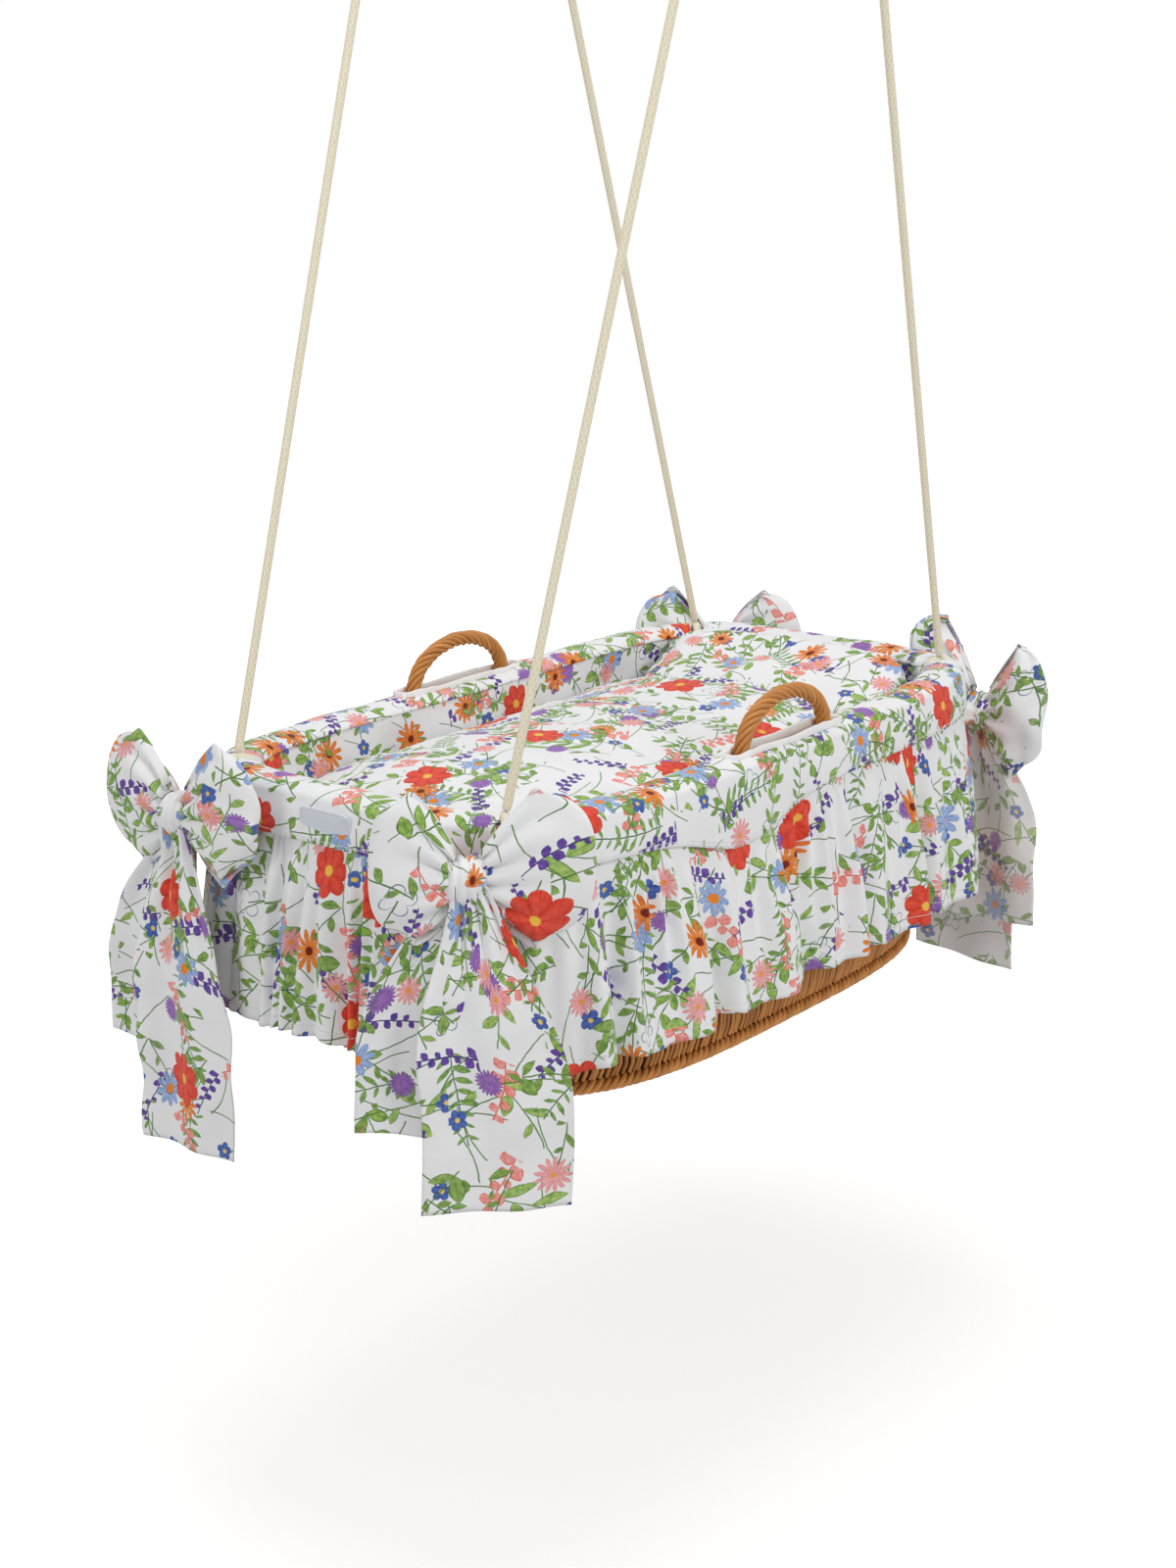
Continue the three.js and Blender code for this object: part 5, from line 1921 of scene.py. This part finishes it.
    def knot(self, book: MeshBook) -> None:
        """The knot: a gathered band wrapped over the loops."""
        a, c = np.meshgrid(np.linspace(0, TURN, 49)[:-1], np.linspace(-1, 1, 25), indexing="ij")
        swell = np.clip(1 - abs(c) ** self.crush_power, 0.0, 1) ** 0.5
        pleats = 1 + 0.07 * np.cos(c * np.pi * 4.2 + np.sin(a) * 1.5 + self.seed)
        radius = self.knot_half * (0.25 + 0.75 * swell) * pleats
        x = radius * np.cos(a) * 1.02 + 0.002
        y = c * self.knot_half + 0.0015 * np.sin(a * 2)
        z = radius * np.sin(a) * 1.12
        points = np.stack([x, y, z], -1)
        wide = np.vstack([a, a[:1] + TURN])
        u = np.broadcast_to(c[:1], wide.shape) * 0.03 + self.seed * 0.613
        book.grid(points, u, wide * 0.018 + self.seed * 0.271, loop=True)

    def tie(self, book: MeshBook) -> None:
        """The gathered sash from the knot to the cover."""
        sides, steps = 32, 10
        turn = np.linspace(0, TURN, sides + 1)[:-1]
        _, out = FORM.rim_point(self.end, self.side, self.reach)
        turned = math.radians(self.facing)
        local = np.array([out[0] * math.cos(turned) + out[1] * math.sin(turned),
                          -out[0] * math.sin(turned) + out[1] * math.cos(turned), 0])
        beside = np.array([-local[1], local[0], 0])
        rows = []
        for share in np.linspace(0, 1, steps):
            pleats = 1 + 0.09 * np.cos(turn * 7 + share)
            radius = lerp(self.tie_radius, self.tie_end_radius, share**2) * pleats
            ring = -local * (self.stand + 0.002) * share
            rows.append(ring + np.outer(radius * np.cos(turn), beside) + np.outer(radius * np.sin(turn), UP))
        u = np.broadcast_to(np.arange(sides + 1) * 0.003, (steps, sides + 1)) + self.seed
        v = np.broadcast_to(np.arange(steps)[:, None] * 0.004, u.shape)
        book.grid(np.array(rows), u, v, wrap=True)


BOWS = (
    Bow("foot_left", -1, 1, 0.367, 0.031, -0.040, 176, 0.097, 0.104, 0.298, 0.021, 0.222, -0.036, 1),
    Bow("foot_right", -1, -1, 0.365, 0.030, -0.038, 218, 0.076, 0.100, 0.268, 0.022, 0.210, -0.030, 2),
    Bow("head_left", 1, 1, 0.364, 0.032, -0.044, 6, 0.108, 0.106, 0.285, 0.014, 0.222, -0.028, 3,
        left_lift=0.006, right_lift=-0.012),
    Bow("head_right", 1, -1, 0.364, 0.034, -0.064, -4, 0.076, 0.092, 0.270, 0.024, 0.217, -0.008, 4,
        left_lift=-0.006, right_lift=0.036),
)


# Ropes


@dataclass
class Hanging:
    """A rope with its eye and whipping, the loop round the rim, and the steel above."""

    corner: Corner
    rope_radius: float = 0.004
    loop_radius: float = 0.0165
    end_gap: float = 0.0008
    end_share: float = 0.8
    end_length: float = 0.0015
    rope_eye: float = 0.012
    whipping_length: float = 0.022
    whipping_line: float = 0.0062
    whipping_inset: float = 0.0007
    twine_radius: float = 0.00072
    twine_turns: int = 17
    gap: float = 0.0003
    braid_pitch: float = 0.0085
    braid_sides: int = 30
    hook_reach: float = 0.118
    hook_shift: float = 0.0047
    hook_aside: float = 0.179
    hook_drop: float = 0.0335
    eye_bar: float = 0.003
    link_radius: float = 0.011
    link_bar: float = 0.0025
    ring_gap: float = 0.0005

    def __post_init__(self) -> None:
        """Works out the rope's line."""
        end, side = self.corner.end, self.corner.side
        point, self.out = FORM.rim_point(end, side, COVER.corner_reach)
        centre = point - self.out * COVER.border_line
        centre[2] = WICKER.border_centre
        self.border = FORM.placed(centre)
        ahead, aside = end * self.hook_reach + self.hook_shift, side * self.hook_aside
        self.hook = np.array([ahead, aside, -self.hook_drop])
        self.along = self.border + UP * self.loop_radius - self.hook
        self.span = float(np.linalg.norm(self.along))
        self.along = self.along / self.span
        link_bottom = self.link_radius - self.eye_bar - self.link_bar - self.ring_gap + self.link_radius
        self.eye_centre = link_bottom - self.link_bar - self.rope_radius - self.ring_gap + self.rope_eye
        self.whipping_top = self.eye_centre + self.rope_eye - self.rope_radius / 2
        self.rope_top = self.whipping_top + self.whipping_length + self.gap
        self.rope_end = self.span - self.rope_radius - self.end_gap

    def build(self) -> list[bpy.types.Object]:
        """Builds the rope and what goes with it.

        Returns:
            The pieces.
        """
        name = self.corner.name
        eye, whipping = self.eye(), self.whipping()
        path = np.array([self.hook + self.along * d for d in np.linspace(self.rope_top, self.rope_end, 600)])
        rope = self.braid(f"braided_rope_{name}", path, False)
        body = f"rope_{name}"
        dress(rope, body, "rope", body)
        dress(eye, body, "rope", f"rope_eye_{name}")
        dress(whipping, body, "rope")
        round(self.rope_end - self.rope_top, 4)
        loop = self.rim_loop()
        for node in (f"ceiling_eye_{name}", f"link_{name}"):
            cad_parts[node].material_slots[0].material = FINISHES[Finish.STEEL]
        return [rope, eye, whipping, loop]

    def braid(self, name: str, path: np.ndarray, closed: bool) -> bpy.types.Object:
        """A braided cord along a path.

        Args:
            name: the piece's name.
            path: the centre line's points.
            closed: whether it is a ring.

        Returns:
            The piece.
        """
        sides, run = self.braid_sides, run_along(path)
        along = ring_heading(path) if closed else unit(np.gradient(path, axis=0))
        across = unit(np.cross(along, self.plane_normal(path, closed)))
        other = np.cross(along, across)
        r, a = np.meshgrid(run, circle(sides), indexing="ij")
        pace = TURN / self.braid_pitch
        # The strands' relief, which also darkens the cord's colour between strands as painted shade.
        relief_and_shade = 0.5 + 0.5 * np.maximum(np.cos(6 * a + pace * r), np.cos(6 * a - pace * r))
        radius = self.rope_radius * (0.955 + 0.035 * relief_and_shade)
        if not closed:
            radius = radius * np.where(r > run[-1] - self.end_length, self.end_share, 1.0)
        points = path[:, None, :] + across[:, None, :] * (radius * np.cos(a))[..., None]
        points = points + other[:, None, :] * (radius * np.sin(a))[..., None]
        rows = len(path) + int(closed)
        u = np.broadcast_to(np.arange(sides + 1) * 0.001, (rows, sides + 1))
        v = np.broadcast_to(np.arange(rows)[:, None] * 0.0015, u.shape)
        book = MeshBook(name).grid(points, u, v, wrap=True, loop=closed, tone=relief_and_shade)
        if not closed:
            book.cap(points[0]).cap(points[-1])
        return book.make(Finish.CORD)

    @staticmethod
    def plane_normal(path: np.ndarray, closed: bool) -> np.ndarray:
        """A direction that a path never runs along."""
        if not closed:
            return np.array([0.0, 1.0, 0.0])
        normal = np.cross(path[0] - path.mean(0), path[len(path) // 4] - path.mean(0))
        return normal / np.linalg.norm(normal)

    @staticmethod
    def ring_path(centre: np.ndarray, first: np.ndarray, second: np.ndarray, radius: float) -> np.ndarray:
        """Points of a circle in the plane of two directions."""
        angle = circle(72)
        return centre + radius * (np.outer(np.cos(angle), first) + np.outer(np.sin(angle), second))

    def eye(self) -> bpy.types.Object:
        """The eye at the rope's top."""
        across = np.array([0.0, 1.0, 0.0])
        across = across - self.along * across.dot(self.along)
        across /= np.linalg.norm(across)
        centre = self.hook + self.along * self.eye_centre
        path = self.ring_path(centre, self.along, across, self.rope_eye)
        return self.braid(f"braided_eye_{self.corner.name}", path, True)

    def whipping(self) -> bpy.types.Object:
        """Twine wound tightly below the eye."""
        first = np.cross([0.0, 1.0, 0.0], self.along)
        first /= np.linalg.norm(first)
        second = np.cross(self.along, first)
        angle = np.linspace(0, TURN * self.twine_turns, self.twine_turns * 18)
        top, inset = self.whipping_top, self.whipping_inset
        run = np.linspace(top + inset, top + self.whipping_length - inset, len(angle))
        around = np.outer(np.cos(angle), first) + np.outer(np.sin(angle), second)
        path = self.hook + np.outer(run, self.along) + self.whipping_line * around
        lines = line_mesh(f"whipping_{self.corner.name}", [path])
        return STRANDS.run(lines, Finish.CORD, Radius=self.twine_radius, Sides=6)

    def rim_loop(self) -> bpy.types.Object:
        """The rope's loop round the rim border."""
        path = self.ring_path(self.border, UP, self.out, self.loop_radius)
        piece = self.braid(f"braided_loop_{self.corner.name}", path, True)
        node = f"rim_loop_{self.corner.name}"
        return dress(piece, node, "rope", node)


# Stage


@dataclass(frozen=True)
class Lamp:
    """A square soft lamp that looks at the basket. Power in watts, lengths in metres."""

    name: str
    place: tuple[float, float, float]
    power: float
    size: float

    def hang(self, target: Vector) -> None:
        """Hangs the lamp so that it looks at a point."""
        data = bpy.data.lights.new(self.name, "AREA")
        data.energy = self.power
        data.size = self.size
        lamp = linked(self.name, data)
        lamp.location = self.place
        lamp.rotation_mode = "QUATERNION"
        lamp.rotation_quaternion = (target - Vector(self.place)).to_track_quat("-Z", "Y")


@dataclass
class Studio:
    """Camera, floor and soft lamps."""

    place: tuple[float, float, float] = (-1.641, -1.264, -0.312)
    yaw: float = 38.35
    pitch: float = -15.03
    lens: float = 51.12
    floor_height: float = -1.49
    glow: float = 0.505
    glow_rise: float = 0.27
    shade_reach: float = 0.35
    shade_fade: float = 1.0
    floor_half: float = 14.0
    floor_grey: float = 0.72
    world_light: float = 0.46
    lamps: tuple[Lamp, ...] = (
        Lamp("key", (-0.5, -3.1, 0.9), 35.0, 1.1),
        Lamp("fill", (-3.4, 1.2, 0.4), 26.0, 2.0),
        Lamp("top", (0.0, 0.0, 1.3), 15.0, 1.4),
    )
    target: tuple[float, float, float] = (0, 0, -0.9)

    def build(self) -> None:
        """Builds the stage round the object."""
        self.camera()
        self.floor()
        self.world()
        for lamp in self.lamps:
            lamp.hang(Vector(self.target))

    def camera(self) -> None:
        """The camera at the photograph's angle."""
        data = bpy.data.cameras.new("camera")
        data.lens = self.lens
        data.sensor_width = 36.0
        data.clip_end = 100.0
        camera = linked("camera", data)
        yaw, pitch = math.radians(self.yaw), math.radians(self.pitch)
        look = Vector((math.cos(yaw) * math.cos(pitch), math.sin(yaw) * math.cos(pitch), math.sin(pitch)))
        camera.rotation_mode = "QUATERNION"
        camera.rotation_quaternion = look.to_track_quat("-Z", "Y")
        camera.location = self.place
        bpy.context.scene.camera = camera

    def floor(self) -> None:
        """A pale floor that reads white to the camera but keeps the shadow, deepened by painted shadow under
        the basket.
        """
        mesh = bpy.data.meshes.new("floor")
        half = self.floor_half
        corners = [(-half, -half), (half, -half), (half, half), (-half, half)]
        mesh.from_pydata([(x, y, self.floor_height) for x, y in corners], [], [(0, 1, 2, 3)])
        floor = linked("floor", mesh)
        material = bpy.data.materials.new("floor_white")
        book = self.bare(material)
        matt = book.add("ShaderNodeBsdfDiffuse", {"Color": (*[self.floor_grey] * 3, 1.0)})
        x, y, _ = book.parts(book.place())
        # The glow is weakest under the basket, a painted shadow that deepens the cast one, and rises outwards
        # to make up for the lamps' fall-off.
        away = (((x * x + y * y) ** 0.5 - self.shade_reach) / self.shade_fade).clamped()
        strength = book.seen() * (away * away * (3.0 - away * 2.0) * self.glow_rise + self.glow)
        glow = book.add("ShaderNodeEmission", {"Color": (1.0, 1.0, 1.0, 1.0), "Strength": strength})
        both = book.add("ShaderNodeAddShader", {0: matt.outputs[0], 1: glow.outputs[0]})
        book.add("ShaderNodeOutputMaterial", {"Surface": both.outputs[0]})
        mesh.materials.append(material)

    def world(self) -> None:
        """A pale world that the camera sees as white."""
        world = bpy.data.worlds.new("studio")
        bpy.context.scene.world = world
        book = self.bare(world)
        strength = self.world_light + book.seen() * (1.0 - self.world_light)
        glow = book.add("ShaderNodeBackground", {"Color": (1.0, 1.0, 1.0, 1.0), "Strength": strength})
        book.add("ShaderNodeOutputWorld", {"Surface": glow.outputs[0]})

    @staticmethod
    def bare(owner: bpy.types.Material | bpy.types.World) -> NodeBook:
        """The book of a material's or world's nodes, with none in it."""
        owner.use_nodes = True
        owner.node_tree.nodes.clear()
        return NodeBook(owner.node_tree)


def main() -> None:
    """Builds the classes in order and reports each piece."""
    logging.basicConfig(level=logging.INFO, format="%(message)s")
    bpy.context.scene.view_settings.view_transform = "Standard"
    Studio().build()
    pieces: list[bpy.types.Object] = []
    for corner in CORNERS:
        pieces += Hanging(corner).build()
    pieces += WICKER.build()
    pieces += COVER.build()
    pieces += Bedding().build()
    pieces += [bow.build() for bow in BOWS]
    for piece in pieces:
        LOG.info("%s: %d faces", piece.name, len(piece.data.polygons))


if __name__ == "__main__":
    main()
